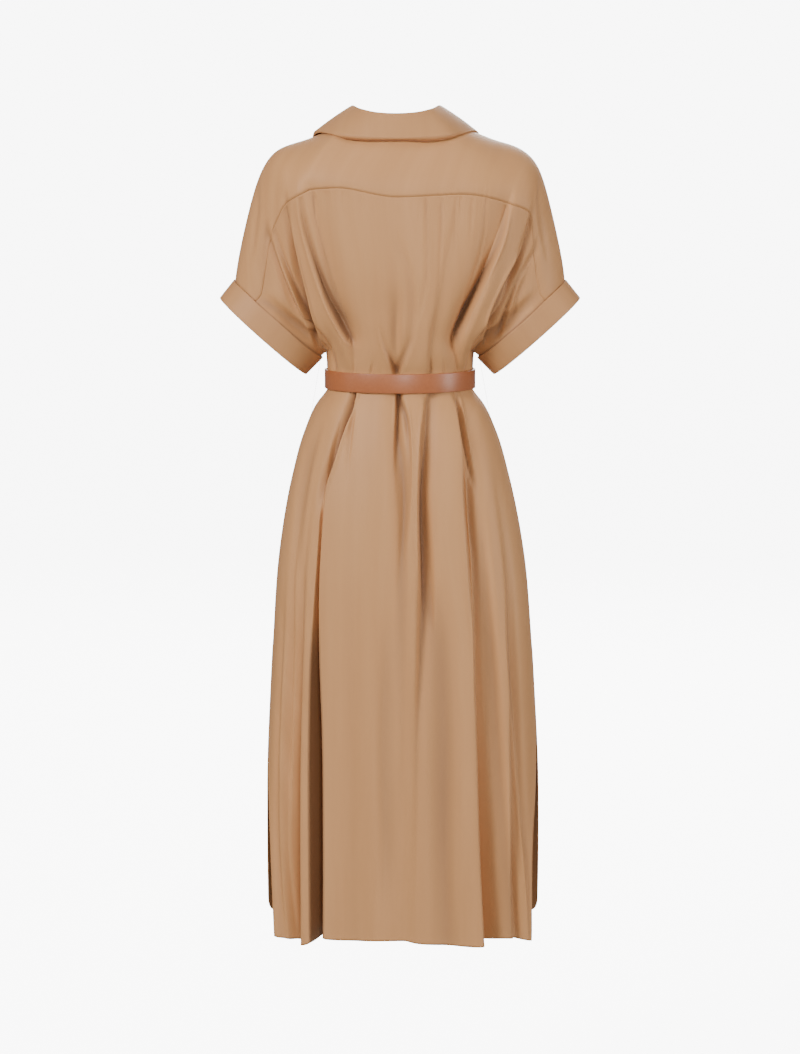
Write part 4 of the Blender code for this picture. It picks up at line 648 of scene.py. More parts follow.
def line_angles(lines, cloth, overlap):
    """The angle round the skirt of each column of cloth at each of the skirt's levels."""
    share = np.array([line[2:] for line in lines], float)
    rows = np.array(SKIRT)
    half = curve(-rows[:, 0], rows[:, 1], -np.array(SKIRT_LEVELS))
    if lines is FRONT_LINES:
        share[0] -= overlap / half
    knots = [line[1] for line in lines]
    return curve(knots, np.degrees(np.arcsin(share)), cloth, tame=True)


def hem_line(face, cloth):
    """Height of the hem for each column of cloth."""
    table = np.array(BACK_HEM if face == "back" else FRONT_HEM)
    return curve(table[:, 0], table[:, 1], cloth)


def base_panel(face, side, cloth, down, overlap=0.0):
    """The panel without its folds: a grid of points, rows down and columns across."""
    lines, table, levels, sign = PANELS[face]
    angles = line_angles(lines, cloth, overlap) * side
    # skirt
    drop = np.clip(down - 1.0, 0.0, 1.0)
    level = BELT_TOP + (hem_line(face, cloth)[None, :] - BELT_TOP) * drop[:, None]
    turned = curve(-np.array(SKIRT_LEVELS), angles.T, -(BELT_TOP + (HEM - BELT_TOP) * drop))
    skirt = skirt_point(level, turned, face)
    # bodice
    keys = np.array([row[2:] for row in table], float) / 1000.0
    if face == "front":
        keys[0, 2:, 0] -= overlap
    stations = np.array(levels[:-1])
    outer = side_line(stations, side, sign)[None]
    keys = np.concatenate((keys * np.array((side, 1.0, 1.0)), outer))
    knots = [row[1] for row in table] + [lines[-1][1]]
    edges = [(-1, side, (cloth - knots[-2]) / (knots[-1] - knots[-2]))]
    if face == "back":
        keys = np.concatenate((side_line(stations, -1.0, sign)[None], keys))
        edges.append((0, -1.0, (knots[0] - cloth) / knots[0]))
        knots = [0.0] + knots
    rows = curve(knots, keys, cloth, tame=True)
    waist = skirt_point(np.full(cloth.shape, BELT_TOP), angles[:, 0], face)
    rows = np.concatenate((rows, waist[:, None]), axis=1)
    bodice = curve(levels, rows.transpose(1, 0, 2), down)
    # the outermost columns follow the cuff exactly
    for column, hand, share in edges:
        off = side_line(down, hand, sign) - bodice[:, column]
        bodice = bodice + (np.clip(share, 0.0, 1.0) ** 2)[None, :, None] * off[:, None]
    return np.where((down <= 1.0)[:, None, None], bodice, skirt)

# %% [markdown]
# ## Main folds
# A fold is a hollow with a crest beside it. Each runs down a line of cloth, is steep on one
# side and soft on the other, and has its depths at a few heights, so it can start in the yoke
# seam, vanish under the belt and come back in the skirt. The one deep pleat of the back is
# drawn apart: its cloth turns in over a round rim, runs to the floor of the pleat and returns.

# %% Fold tables
# line, which way its steep side is, widths of its soft and steep side (mm), ridge and lean (shares
# of the depth), then its depth (mm) at each level down the dress: 1 is the belt, 2 is the hem
FOLD_LEVELS = (0.00, 0.45, 0.84, 0.97, 1.05, 1.13, 1.33, 1.50, 1.64, 1.83, 2.00)
BACK_FOLDS = (
    ("sleeve_left", 1, 14, 8, 0.3, 0.0, (0, 6, 2, 0, 0, 0, 0, 0, 0, 0, 0)),
    ("c_left", 1, 9, 6, 0.5, 0.2, (3, 7, 4, 0, 0, 0, 0, 3, 5, 5, 5)),
    ("b_left", 1, 9, 5, 0.4, 0.2, (2, 6, 7, 3, 0, 0, 2, 5, 6, 5, 5)),
    ("ridge_left", 1, 16, 7, 0.2, 0.0, (0, 0, 0, 0, 0, 0, 4, 14, 22, 28, 32)),
    ("panel_left", -1, 22, 7, 0.5, 0.2, (3, 7, 7, 2, 0, 0, 0, 0, 0, 0, 0)),
    ("blade_left", 1, 26, 18, 0.2, 0.0, (1, 2, 2, 2, 2, 3, 3, 3, 3, 3, 3)),
    ("middle", 1, 14, 9, 0.2, 0.0, (0, 2, 8, 8, 6, 11, 5, 3, 2, 1, 0)),
    ("inner_right", -1, 16, 6, 0.4, 0.2, (1, 2, 4, 4, 4, 8, 12, 8, 3, 1, 0)),
    ("pleat_right", -1, 26, 6, 0.5, 0.2, (0, 0, 0, 0, 5, 13, 13, 17, 22, 30, 36)),
    ("pleat_right", 1, 24, 6, 0.5, 0.3, (4, 12, 14, 4, 0, 0, 0, 0, 0, 0, 0)),
    ("b_right", -1, 9, 5, 0.4, 0.2, (2, 7, 8, 3, 0, 0, 0, 0, 0, 0, 0)),
    ("c_right", -1, 12, 7, 0.3, 0.0, (2, 4, 3, 0, 0, 0, 4, 9, 12, 12, 9)),
    ("sleeve_right", -1, 14, 8, 0.3, 0.0, (0, 6, 2, 0, 0, 0, 0, 0, 0, 0, 0)),
)
FRONT_FOLDS = (
    ("front_edge", 1, 60, 60, 0.0, 0.0, (0, 0, 0, 3, 3.4, 0, 0, 0, 0, 0, 0)),
    ("fold_in", 1, 18, 8, 0.5, 0.2, (3, 4, 5, 5, 5, 11, 12, 12, 13, 14, 15)),
    ("fold_mid", -1, 22, 7, 0.5, 0.3, (3, 8, 9, 4, 4, 12, 13, 14, 16, 18, 20)),
    ("fold_out", 1, 14, 7, 0.5, 0.2, (2, 8, 8, 3, 3, 8, 10, 11, 12, 12, 12)),
    ("crease", 1, 12, 8, 0.3, 0.0, (3, 6, 3, 0, 0, 0, 0, 0, 0, 0, 0)),
)
# the pleat's two rims, its depth at each level, and where its columns are along its cloth
PLEAT = ("pleat_left", "panel_left", (0, 0, 0, 0, 0, 2, 12, 45, 72, 90, 98))
PLEAT_SHARES = (0, 0.016, 0.035, 0.07, 0.25, 0.42, 0.47, 0.50, 0.53, 0.58, 0.75, 0.93, 0.965,
                0.984, 1)
PLEAT_ENDS = [line[1] for line in BACK_LINES if line[0] in PLEAT]
print("folds:", len(BACK_FOLDS) + 2 * len(FRONT_FOLDS), "and one deep pleat")

# %% Folded panels
def hollow(distance, before, after):
    """A smooth dip of depth one with its own width on either side, all in millimetres."""
    width = np.where(distance < 0.0, before, after)
    return np.exp(-((distance / width) ** 2))


def across_rows(face, side, cloth, down, overlap):
    """Distance along every row, in millimetres, at the columns and at the named lines."""
    lines, table, _, _ = PANELS[face]
    dense = np.linspace(0.0, lines[-1][1], 500)
    run = edge_runs(base_panel(face, side, dense, down, overlap), "left") * 1000.0
    places = {row[0]: row[1] for row in table + lines}
    at_line = {name: np.array([np.interp(x, dense, r) for r in run])[:, None]
               for name, x in places.items()}
    return np.array([np.interp(cloth, dense, r) for r in run]), at_line, run[:, -1:]


def pleat_section(width, length, share):
    """How far across and how deep the cloth of a pleat lies in each row, in millimetres.

    Each row has its width and the length of its cloth; share is the place along the cloth.
    """
    along = np.linspace(0.0, 1.0, PLEAT_STEPS)[None, None, :]
    steep = np.radians(np.linspace(*PLEAT_ANGLES))[None, :, None]
    rim = np.minimum(EASE_LENGTH * RIM_RADIUS * steep / length[:, None, None], RIM_MOST)
    radius = np.clip(width / 2.0 - RIM_RADIUS, *FLOOR_RADII)
    back_turn = 2.0 * EASE_LENGTH * radius[:, None, None] * steep
    floor = np.minimum(back_turn / length[:, None, None], FLOOR_MOST)
    turn = steep * (ease(along / rim) - 2.0 * ease((along - 0.5) / floor + 0.5)
                    + ease((along - 1.0) / rim + 1.0))
    spread = np.cos(turn).mean(2)
    across, deep = np.empty(share.shape), np.empty(share.shape)
    for row in range(len(width)):
        wanted = width[row] / length[row]
        angle = np.interp(-wanted, -spread[row], np.arange(spread.shape[1]))
        low = min(int(angle), spread.shape[1] - 2)
        path = turn[row, low] + (turn[row, low + 1] - turn[row, low]) * (angle - low)
        reach = np.cumsum(np.cos(path)) - np.cos(path[0])
        drop = np.cumsum(np.sin(path))
        reach, drop = reach / reach[-1] * width[row], drop / PLEAT_STEPS * length[row]
        across[row] = np.interp(share[row], along[0, 0], reach)
        deep[row] = np.interp(share[row], along[0, 0], drop)
    return across, deep


def fold_offsets(face, side, cloth, down, overlap):
    """How far each point moves outward and sideways for the folds, in metres."""
    run, at_line, total = across_rows(face, side, cloth, down, overlap)
    outward, sideways = np.zeros(run.shape), np.zeros(run.shape)
    calm_belt = ease(np.abs(down - BELT_DOWN) / BELT_CALM - BELT_STILL)[:, None]
    for name, way, soft, sharp, ridge, lean, depths in (
            BACK_FOLDS if face == "back" else FRONT_FOLDS):
        depth = curve(FOLD_LEVELS, depths, down, tame=True)[:, None]
        away = (run - at_line[name]) * way
        crest = hollow(away - CREST_PLACE * sharp, CREST_WIDTH * sharp, soft)
        outward += depth * (ridge * calm_belt * crest - hollow(away, soft, sharp))
        sideways -= depth * way * lean * calm_belt * hollow(away - sharp, sharp, soft)
    if face == "back":
        first, last, depths = PLEAT
        share = np.clip((cloth - PLEAT_ENDS[0]) / np.ptp(PLEAT_ENDS), 0.0, 1.0)
        width = (at_line[last] - at_line[first])[:, 0]
        depth = curve(FOLD_LEVELS, depths, down, tame=True)
        spread = np.interp(share, np.linspace(0.0, 1.0, len(PLEAT_SHARES)), PLEAT_SHARES)
        settled = ease(depth / PLEAT_SETTLED)[:, None]
        place = share + (spread - share) * settled
        across, deep = pleat_section(width, np.hypot(width, 2.0 * depth), place)
        inside = (share > 0.0) & (share < 1.0) & (depth > PLEAT_SHUT)[:, None]
        outward -= np.where(inside, deep, 0.0)
        sideways += np.where(inside, at_line[first] + across - run, 0.0)
    calm = ease((total - run) / EDGE_CALM / 1000.0)
    if face == "back":
        calm = calm * ease(run / EDGE_CALM / 1000.0)
    return outward * calm / 1000.0, sideways * calm / 1000.0

# %% [markdown]
# ## Creases
# Gathered cloth also has short creases that cross its lines. They are drawn as a dressmaker
# would chalk them: points on the front or the back view, each with the crease's depth there. A
# point of the cloth asks for the nearest spot of the line and sinks by the depth found, more
# gently on one side than on the other.

# %% Creases drawn on the back
# name, widths to the left and right, crest (share of the depth, minus is to the left), then
# x, z and depth of its points, all in millimetres
BACK_CREASES = (
    # folds that fan out from the armholes, left
    ("a_left", 2.6, 7, -0.30, (-149, -93, 2), (-144, -133, 5.5), (-127, -197, 6.5),
     (-109, -248, 9), (-92, -284, 13), (-77, -310, 9)),
    ("a_left_slope", 3, 21, 0, (-145, -120, 0), (-127, -197, 4), (-109, -248, 8),
     (-92, -284, 9.5), (-74, -324, 0)),
    ("b_left", 6, 2.1, 0.30, (-170, -106, 1.5), (-160, -160, 7), (-143, -233, 10.5),
     (-130, -286, 11), (-120, -318, 3)),
    ("c_left", 2.2, 4.5, -0.30, (-190, -141, 1), (-174, -192, 6.5), (-154, -239, 9),
     (-136, -286, 9), (-124, -322, 3)),
    # the same on the right
    ("a_right", 6, 2.6, 0.30, (160, -100, 2), (152, -153, 5.5), (127, -212, 8), (100, -268, 10),
     (90, -298, 8), (86, -318, 0)),
    ("a_right_slope", 15, 3, 0, (152, -140, 0), (127, -212, 3), (100, -268, 5),
     (90, -298, 6), (82, -330, 0)),
    ("a_right_fine", 3, 2, 0, (128, -97, 1), (124, -153, 1.3), (109, -212, 1.5),
     (97, -248, 1.2), (86, -300, 0)),
    ("b_right", 2.1, 6, -0.30, (193, -127, 2), (180, -180, 8), (154, -230, 10), (136, -271, 10),
     (126, -312, 4)),
    ("c_right", 4.5, 2.2, 0.30, (196, -183, 1), (174, -225, 5), (157, -274, 6), (145, -316, 3)),
    ("d_right", 4, 3, 0, (188, -215, 0), (176, -245, 2.5), (168, -285, 0)),
    # gathers under the yoke
    ("gather_1", 2.2, 2.2, 0.3, (18, -97, 1), (18, -144, 0)),
    ("gather_2", 2.2, 2.2, 0.3, (29, -98, 1.2), (28, -159, 0)),
    ("gather_3", 3, 2.4, 0.3, (38, -97, 1.8), (40, -174, 1.8), (37, -233, 1.5), (21, -299, 0)),
    ("gather_4", 2.4, 2.4, 0.3, (60, -98, 2), (60, -159, 1.6), (56, -248, 0)),
    ("gather_5", 2.4, 2.4, 0.3, (82, -98, 1.2), (80, -188, 0)),
    ("gather_6", 2.2, 2.2, 0.3, (89, -97, 1), (87, -144, 0)),
    ("gather_7", 2.2, 2.4, 0.3, (-126, -93, 1.6), (-124, -144, 0)),
    ("gather_8", 2.4, 2.4, 0.3, (106, -100, 1.4), (103, -174, 0)),
    ("gather_9", 2.4, 2.4, 0.3, (-108, -90, 1), (-104, -135, 0)),
    # the slack middle of the back, pulled in by the belt
    ("slack", 8, 5, 0.2, (-4, -150, 0), (10, -190, 2), (18, -235, 3), (18, -290, 2.8),
     (8, -330, 2.5), (-3, -352, 1)),
    ("dart_left", 2.6, 5, -0.3, (-32, -284, 0), (-20, -325, 4), (-7, -356.5, 9)),
    ("dart_right", 5, 2.6, 0.3, (20, -300, 0), (8, -328, 4), (-2, -356.5, 9)),
    ("tuck_1", 2.4, 2, -0.3, (44, -328, 0), (46, -357, 3.5)),
    ("tuck_2", 2.2, 2.2, 0.2, (85, -312, 0), (84, -356, 2)),
    ("tuck_3", 2.4, 2, 0.3, (-68, -335, 0), (-69, -357, 2.2)),
    ("tuck_4", 2.6, 2, 0.3, (-99, -322, 0), (-95, -356, 3.5)),
    ("tuck_5", 2.4, 2, -0.3, (-40, -338, 0), (-43, -358, 2.5)),
    ("tuck_6", 2.4, 2, -0.3, (66, -336, 0), (66, -357, 1.8)),
    # below the belt, from the left
    ("hip_left", 9, 6, -0.2, (-118, -430, 0), (-133, -480, 4), (-146, -550, 4.5),
     (-152, -610, 3), (-156, -680, 0)),
    ("first", 5.5, 2.4, 0.3, (-66.7, -390, 11), (-77, -420, 13), (-86, -444, 13), (-101, -490, 12),
     (-113, -525, 8), (-119.5, -565, 0)),
    ("first_right", 5, 2.2, 0.2, (-68, -390, 3), (-71, -430, 5), (-75, -470, 2.5),
     (-79, -520, 0)),
    ("second_left", 2, 6, -0.2, (-3.5, -390, 9), (-5, -432, 10), (-7, -480, 3), (-8, -520, 0)),
    ("second_right", 6, 2, 0.3, (-1, -390, 8), (10, -418, 10), (14, -455, 6), (13, -545, 3.5),
     (3, -640, 0)),
    ("second_middle", 5, 5, 0, (6, -456, 0), (7.4, -515, 3), (4.5, -600, 2.5),
     (-2, -690, 0)),
    ("third", 2.2, 14, -0.3, (42, -390, 7), (34.5, -433, 7.5), (31, -493, 8.5), (30, -583, 9),
     (31, -640, 6), (34, -700, 3), (36, -780, 0)),
    ("third_right", 9, 3, 0.2, (40, -530, 0), (44, -600, 3), (47, -670, 4), (48, -715, 3),
     (48, -745, 0)),
    ("fourth_slit", 2, 2.2, 0.5, (86, -398, 5), (92, -436, 9), (99, -474, 10), (109, -512, 4),
     (116, -530, 0)),
    ("fourth", 2, 7, -0.4, (98, -480, 0), (101, -529, 7), (104, -583, 8), (109, -640, 6),
     (111, -704, 5), (112, -790, 3), (114, -880, 0)),
    # down the skirt
    ("long_left", 10, 16, 0, (-18, -700, 0), (-22.5, -800, 3.5), (-25, -920, 4.5),
     (-21, -1077, 4), (-22.5, -1190, 0)),
    ("long_right", 22, 17, 0.2, (54, -660, 0), (62, -760, 5.5), (66, -870, 6.5),
     (66, -1000, 7), (67, -1100, 6), (71, -1215, 3.5)),
    ("far_right", 15, 6.5, 0.3, (118, -560, 0), (130, -680, 5), (140, -787, 5.5),
     (149, -909, 5.5), (158, -1031, 5), (170, -1155, 5), (177, -1222, 4.5)),
    ("edge_right", 3.5, 8, -0.5, (160, -700, 0), (164.5, -787, 3), (172, -878, 4),
     (184, -1031, 5), (196, -1155, 4), (200, -1222, 3)),
)

# %% Creases of the fronts and of the sleeves
# The fronts' creases are drawn for the wearer's right; the left front shifts them a little.
FRONT_CREASES = (
    ("armhole", 3, 9, 0.3, (150, -90, 1.5), (134, -170, 5), (112, -235, 7), (92, -290, 6),
     (86, -320, 0)),
    ("elbow", 7, 2.6, -0.3, (182, -130, 2), (168, -190, 5), (146, -246, 6), (124, -306, 3)),
    ("elbow_low", 4, 3, 0.2, (192, -190, 1), (172, -240, 4), (148, -312, 1)),
    ("gather_1", 2.4, 2.4, 0.3, (112, -40, 1.8), (108, -120, 0)),
    ("gather_2", 2.4, 2.4, 0.3, (128, -46, 1.5), (121, -140, 0)),
    ("gather_3", 2.2, 2.2, 0.3, (94, -32, 1.2), (90, -95, 0)),
    ("bust", 6, 4, 0.2, (72, -190, 0), (60, -260, 3), (50, -330, 3), (46, -357, 4)),
    ("tuck_1", 2.4, 2, -0.3, (30, -325, 0), (31, -357, 2.8)),
    ("tuck_2", 2.2, 2.2, 0.3, (68, -318, 0), (66, -357, 3.2)),
    ("tuck_3", 2.4, 2, 0.3, (92, -325, 0), (89, -357, 2.6)),
    ("hip", 2.2, 8, -0.3, (52, -390, 6), (58, -430, 7), (63, -500, 4), (64, -600, 0)),
    ("hip_side", 8, 2.4, 0.3, (82, -390, 5), (94, -440, 6), (106, -520, 4), (114, -620, 0)),
    ("by_strip", 6, 2.6, 0.2, (27, -390, 3.5), (31, -450, 3.5), (34, -560, 0)),
    ("long_in", 7, 7, 0, (70, -640, 0), (75, -800, 3.5), (76, -1000, 4), (80, -1200, 3)),
    ("long_out", 7, 9, 0, (140, -560, 0), (152, -720, 4), (160, -940, 5), (164, -1180, 4)),
)
# Soft breaks in the sleeves, where they turn from the shoulder, seen from the back.
SLEEVE_CREASES = (
    ("outer_left", 5, 3.5, 0.2, (-214, -64, 0), (-211.9, -110, 2), (-217, -160, 2),
     (-224, -205, 0)),
    ("outer_right", 3.5, 5, -0.2, (210, -60, 0), (207, -105, 2.5), (212, -150, 2.5),
     (222, -205, 0)),
    ("break_left", 3, 5, 0, (-196, -118, 0), (-199, -160, 1.6), (-206, -220, 0)),
    ("break_right", 5, 3, 0, (198, -120, 0), (201, -165, 1.6), (206, -222, 0)),
    ("shoulder_left", 7, 7, 0, (-175, -60, 0), (-185, -95, 1.2), (-190, -130, 0)),
)
# Fine gathers under the yoke: where they run, how many, their lengths and their depths, in mm.
GATHER_ENDS = (-128.0, 128.0)
GATHER_COUNT = 44
GATHER_LENGTHS = (10.0, 55.0)
GATHER_DEPTHS = (0.25, 0.80)
GATHER_WIDE = 2.0
GATHER_SEAM = -88.0  # they start a little above the seam
GATHER_STRAY = 0.3  # how far each is from its even place, as a share of their spacing
GATHER_LEAN = (0.99, 0.97)  # how they lean to the middle further down
GATHER_CREST = 0.4  # height of their ridges, as a share of the depth
GATHER_BEND = 0.4  # they are at their deepest down to this share of their length
CREASE_STEPS = 28  # straight stretches of a crease's line
CREASE_REACH = 3.0  # widths beyond which a crease isn't felt
CREST_OFF = 1.6  # a crest stands this many widths beside its hollow


def fine_gathers():
    """Short shallow creases that hang from the yoke seam, a little uneven in every way."""
    dice = np.random.default_rng(7)
    middles = np.linspace(*GATHER_ENDS, GATHER_COUNT)
    stray = dice.uniform(-GATHER_STRAY, GATHER_STRAY, GATHER_COUNT)
    middles = middles + stray * (middles[1] - middles[0])
    lengths = dice.uniform(*GATHER_LENGTHS, GATHER_COUNT)
    depths = dice.uniform(*GATHER_DEPTHS, GATHER_COUNT)
    return [(f"fine_{index}", GATHER_WIDE, GATHER_WIDE, GATHER_CREST, (x, GATHER_SEAM, depth),
             (x * GATHER_LEAN[0], GATHER_SEAM - GATHER_BEND * length, depth),
             (x * GATHER_LEAN[1], GATHER_SEAM - length, 0.0))
            for index, (x, length, depth) in enumerate(zip(middles, lengths, depths))]


def crease_line(points):
    """A crease's points joined by a smooth line, with the depth along it."""
    points = np.array(points, float) / np.array((1000.0, 1000.0, 1.0))
    return curve(run_along(points[:, :2]), points, np.linspace(0.0, 1.0, CREASE_STEPS + 1))


def creased(grid, table, shift=0.0, mirror=1.0):
    """How far each point of a grid moves outward for a table of creases, in metres."""
    plane = grid[..., (0, 2)] * np.array((mirror, 1.0))
    outward = np.zeros(grid.shape[:2])
    for _, left, right, crest, *points in table:
        line = crease_line(points)
        line[:, 0] += shift
        reach = CREASE_REACH * max(left, right) / 1000.0
        near = np.all((plane > line[:, :2].min(0) - reach)
                      & (plane < line[:, :2].max(0) + reach), -1)
        step = np.diff(line[:, :2], axis=0)
        apart, along, away = to_line(plane[near], line[:, :2])
        best = np.argmin(apart, axis=1)
        index = np.arange(len(best))
        side = np.sign(step[best, 0] * away[index, best, 1] - step[best, 1] * away[index, best, 0])
        offset = apart[index, best] * side * 1000.0
        depth = line[best, 2] + along[index, best] * (line[best + 1, 2] - line[best, 2])
        crest_side = np.sign(crest) * (right if crest > 0 else left)
        ridge = hollow(offset - CREST_OFF * crest_side, left, right)
        outward[near] += depth * (abs(crest) * ridge - hollow(offset, left, right)) / 1000.0
    return outward


print("creases:", len(BACK_CREASES), "back,", len(FRONT_CREASES), "each front,",
      len(SLEEVE_CREASES), "sleeves")

# %% [markdown]
# ## From points to cloth
# A finished panel is its base, pushed out along its normals by the folds and the creases. The
# grid becomes an open sheet, and a Solidify modifier gives it the thickness of cloth, turned
# inward so that the outside keeps its size. A vertex group makes the sheet thicker along hems,
# where it is folded over, and the seams are pressed in a little, as sewing does.

# %% Density of the grids
BACK_COLUMNS = 384
PLEAT_COLUMNS = 70
FRONT_COLUMNS = 150
YOKE_ROWS = 51
NECK_END = 0.21  # place down the fronts where the collar ends
STRIP_START = 0.387  # and where the button strip starts
COLLAR_REACH = 0.66  # the collar lies on the fronts down to here
SEAM_ROWS = (0.0, 0.004, 0.009, 0.016)  # places of the rows next to the yoke seam
BODICE_STEPS = 60
BELT_STEPS = 5
SKIRT_STEPS = 58
SKIRT_SPREAD = 1.25  # above one, the skirt's rows are closer below the belt
HEM_ROWS = (0.016, 0.009, 0.004, 0.0)  # the same above the hem

down_belt = 1.0 + (BELT_TOP - BELT_BOTTOM) / (BELT_TOP - HEM)
skirt_rows = np.linspace(0.0, 1.0, SKIRT_STEPS)[1:] ** SKIRT_SPREAD
down = np.concatenate((
    SEAM_ROWS[:-1],
    np.linspace(SEAM_ROWS[-1], 1.0, BODICE_STEPS),
    np.linspace(1.0, down_belt, BELT_STEPS + 1)[1:],
    down_belt + (2.0 - HEM_ROWS[0] - down_belt) * skirt_rows,
    2.0 - np.array(HEM_ROWS[1:]),
))
print(len(down), "rows down the dress")

# %% Panels with folds and creases
SEAM_DIP = 0.0003  # how far a seam is pressed in
SEAM_CALM = 0.006  # creases begin over this length below the yoke's seam
CREASE_SHADE_DEEP = 0.009  # a crease this deep gets the full painted shade at its bottom
CREASE_SHADE_POWER = 1.5  # and a shallower one gets painted shade only along a thin line
PLEAT_SHADE = 0.75  # how dark the shade painted inside the open pleat is
RIM_SHADE = 0.0028  # how wide the painted shadow above a cuff's edge is
RIM_REACH = 3.0 * RIM_SHADE  # beyond which it isn't felt
# how dark the painted shadow under a cuff's edge is
RIM_SHADOW_DARK = 0.8
CORNER_RADIUS = 0.018  # of the fronts' lower corners beside the slits
CORNER_FADE = 0.05  # the cloth above a corner gives way over this height
FRONT_DROP = 0.009  # the fronts' hems hang this much lower than the solids'
SEAM_WIDE = 0.0015
SEWN = 0.001  # edges closer than this are sewn to each other
HEM_WIDE = 0.007  # a hem is folded over this far
HEM_LIFT = 0.0003
PLEAT_OPEN = 26.0  # creases stay out of the pleat where it is deeper than this, in mm
FRONT_SHIFT = 0.005  # the left front's creases lie this far from a mirror image
SIDES = {-1.0: "left", 1.0: "right"}
# painted shade along each panel's creases, by the panel's name
painted_crease_shades = {}


def pleat_inside(cloth, down):
    """How far each point of the back lies inside the open pleat, from 0 to 1."""
    share = (cloth - PLEAT_ENDS[0]) / np.ptp(PLEAT_ENDS)
    open_at = curve(FOLD_LEVELS, PLEAT[2], down, tame=True)
    inside = ease(share / PLEAT_RIM) * ease((1.0 - share) / PLEAT_RIM)
    return inside[None, :] * ease((open_at - PLEAT_OPEN) / PLEAT_SETTLED)[:, None]


def round_corner(grid):
    """A front let down a little at its hem, with a rounded corner where the slit meets it."""
    above = grid[..., 2] - grid[-1:, :, 2]
    inward = np.minimum(edge_runs(grid, "right"), CORNER_RADIUS)
    rise = CORNER_RADIUS - np.sqrt(CORNER_RADIUS**2 - (CORNER_RADIUS - inward) ** 2)
    moved = grid.copy()
    moved[..., 2] += (rise[-1] - FRONT_DROP) * np.exp(-((above / CORNER_FADE) ** 2))
    return moved


def panel(face, side, cloth, down, overlap=0.0):
    """A whole panel with folds and creases: its grid of points and their outward normals."""
    lines, _, _, sign = PANELS[face]
    base = base_panel(face, side, cloth, down, overlap)
    outward = np.array((0.0, -sign, 0.0))
    normal = grid_normals(base, outward)
    across = unit(np.gradient(base, axis=1))
    out, along = fold_offsets(face, side, cloth, down, overlap)
    grid = base + normal * out[..., None] + across * along[..., None]
    if face == "back":
        name = face
        below = ease(edge_runs(grid, "first") / SEAM_CALM)
        crease = creased(grid, BACK_CREASES) * below + creased(grid, fine_gathers())
        crease = crease * (1.0 - pleat_inside(cloth, down))
    else:
        name = "front_" + SIDES[side]
        grid = round_corner(grid)
        crease = creased(grid, FRONT_CREASES, 0.0 if side > 0.0 else FRONT_SHIFT, side)
    crease = crease * ease(np.minimum(cloth, lines[-1][1] - cloth) / EDGE_CALM)[None, :]
    grid = grid + normal * crease[..., None]
    # painted shade: the deeper a crease sinks the cloth, the darker it is painted
    painted_crease_shades[name] = np.clip(-crease / CREASE_SHADE_DEEP, 0.0, 1.0) ** CREASE_SHADE_POWER
    return grid, grid_normals(grid, outward)


def spread_columns(face, side, count, overlap=0.0, pleated=0):
    """Columns of cloth set closer where the folds turn most; the pleat has its own number."""
    ends = PANELS[face][0][-1][1]
    dense = np.linspace(0.0, ends, 900)
    grid, _ = panel(face, side, dense, np.array(COLUMN_CHECKS), overlap)
    step = np.diff(grid, axis=1)
    length = np.linalg.norm(step, axis=2)
    turn = np.arccos(np.clip(np.sum(unit(step[:, 1:]) * unit(step[:, :-1]), axis=2), -1, 1))
    turn = np.concatenate((turn, turn[:, -1:]), axis=1)
    first, last = PLEAT_ENDS if pleated else (ends, ends)
    inside = (dense[1:] > first) & (dense[1:] <= last)
    length, turn = np.where(inside, 0.0, length), np.where(inside, 0.0, turn)
    need = length / length.sum(1, keepdims=True) + TURN_SHARE * turn / turn.sum(1, keepdims=True)
    reach = np.concatenate(((0.0,), np.cumsum(need.mean(0))))
    if not pleated:
        return np.interp(np.linspace(0.0, reach[-1], count), reach, dense)
    split = np.interp(first, dense, reach)
    left = round((count - pleated - 1) * split / reach[-1])
    before, after = dense <= first + TINY, dense >= last - TINY
    return np.concatenate((
        np.interp(np.linspace(0.0, split, left + 1)[:-1], reach[before], dense[before]),
        np.linspace(first, last, pleated + 1),
        np.interp(np.linspace(split, reach[-1], count - pleated - left)[1:],
                  reach[after], dense[after])))

# %% Yoke and neckline
# x, y, z in millimetres, from the neck down to the cuff and from the nape to the shoulder
SHOULDER = (
    (62, -8, 12.5), (90, -8, 4.5), (116.5, -8, -5.8), (140, -7, -15.5), (165, -5, -22.5),
    (182.3, -3, -28.5), (198.5, -1, -40), (209.3, 0, -58), (217, 0, -82), (229.2, 0, -129.6),
    (240.5, 0, -177.5), (247, 0, -208),
)
NECK = ((0, -64, 1), (30, -60, 3), (54, -42, 8.5), (68, -8, 12.5))


def shoulder_points(place, side):
    """Points of the shoulder line; place runs from the neck, 0, to inside the cuff, 1."""
    end = sleeve_ring(0.0, SLEEVE_TUCK, 1.0)
    line = np.concatenate((np.array(SHOULDER) / 1000.0, end[None]))
    if side < 0.0:
        line[0, 0] -= 2.0 * NECK_SHIFT
    line = line * np.array((side, 1.0, 1.0))
    return curve(run_along(line), line, place)


def neck_points(share):
    """Points of the back neck; share runs from -1 at the left side to 1 at the right."""
    line = np.array(NECK) / 1000.0
    return both_sides(run_along(line), line, share)


def bridge(start, start_way, end, end_way, share):
    """Points of smooth arcs between two rows, leaving and arriving along the given ways."""
    span = np.linalg.norm(end - start, axis=1, keepdims=True)
    t = share[:, None, None]
    return hermite(t, start, span * start_way, end, span * end_way)


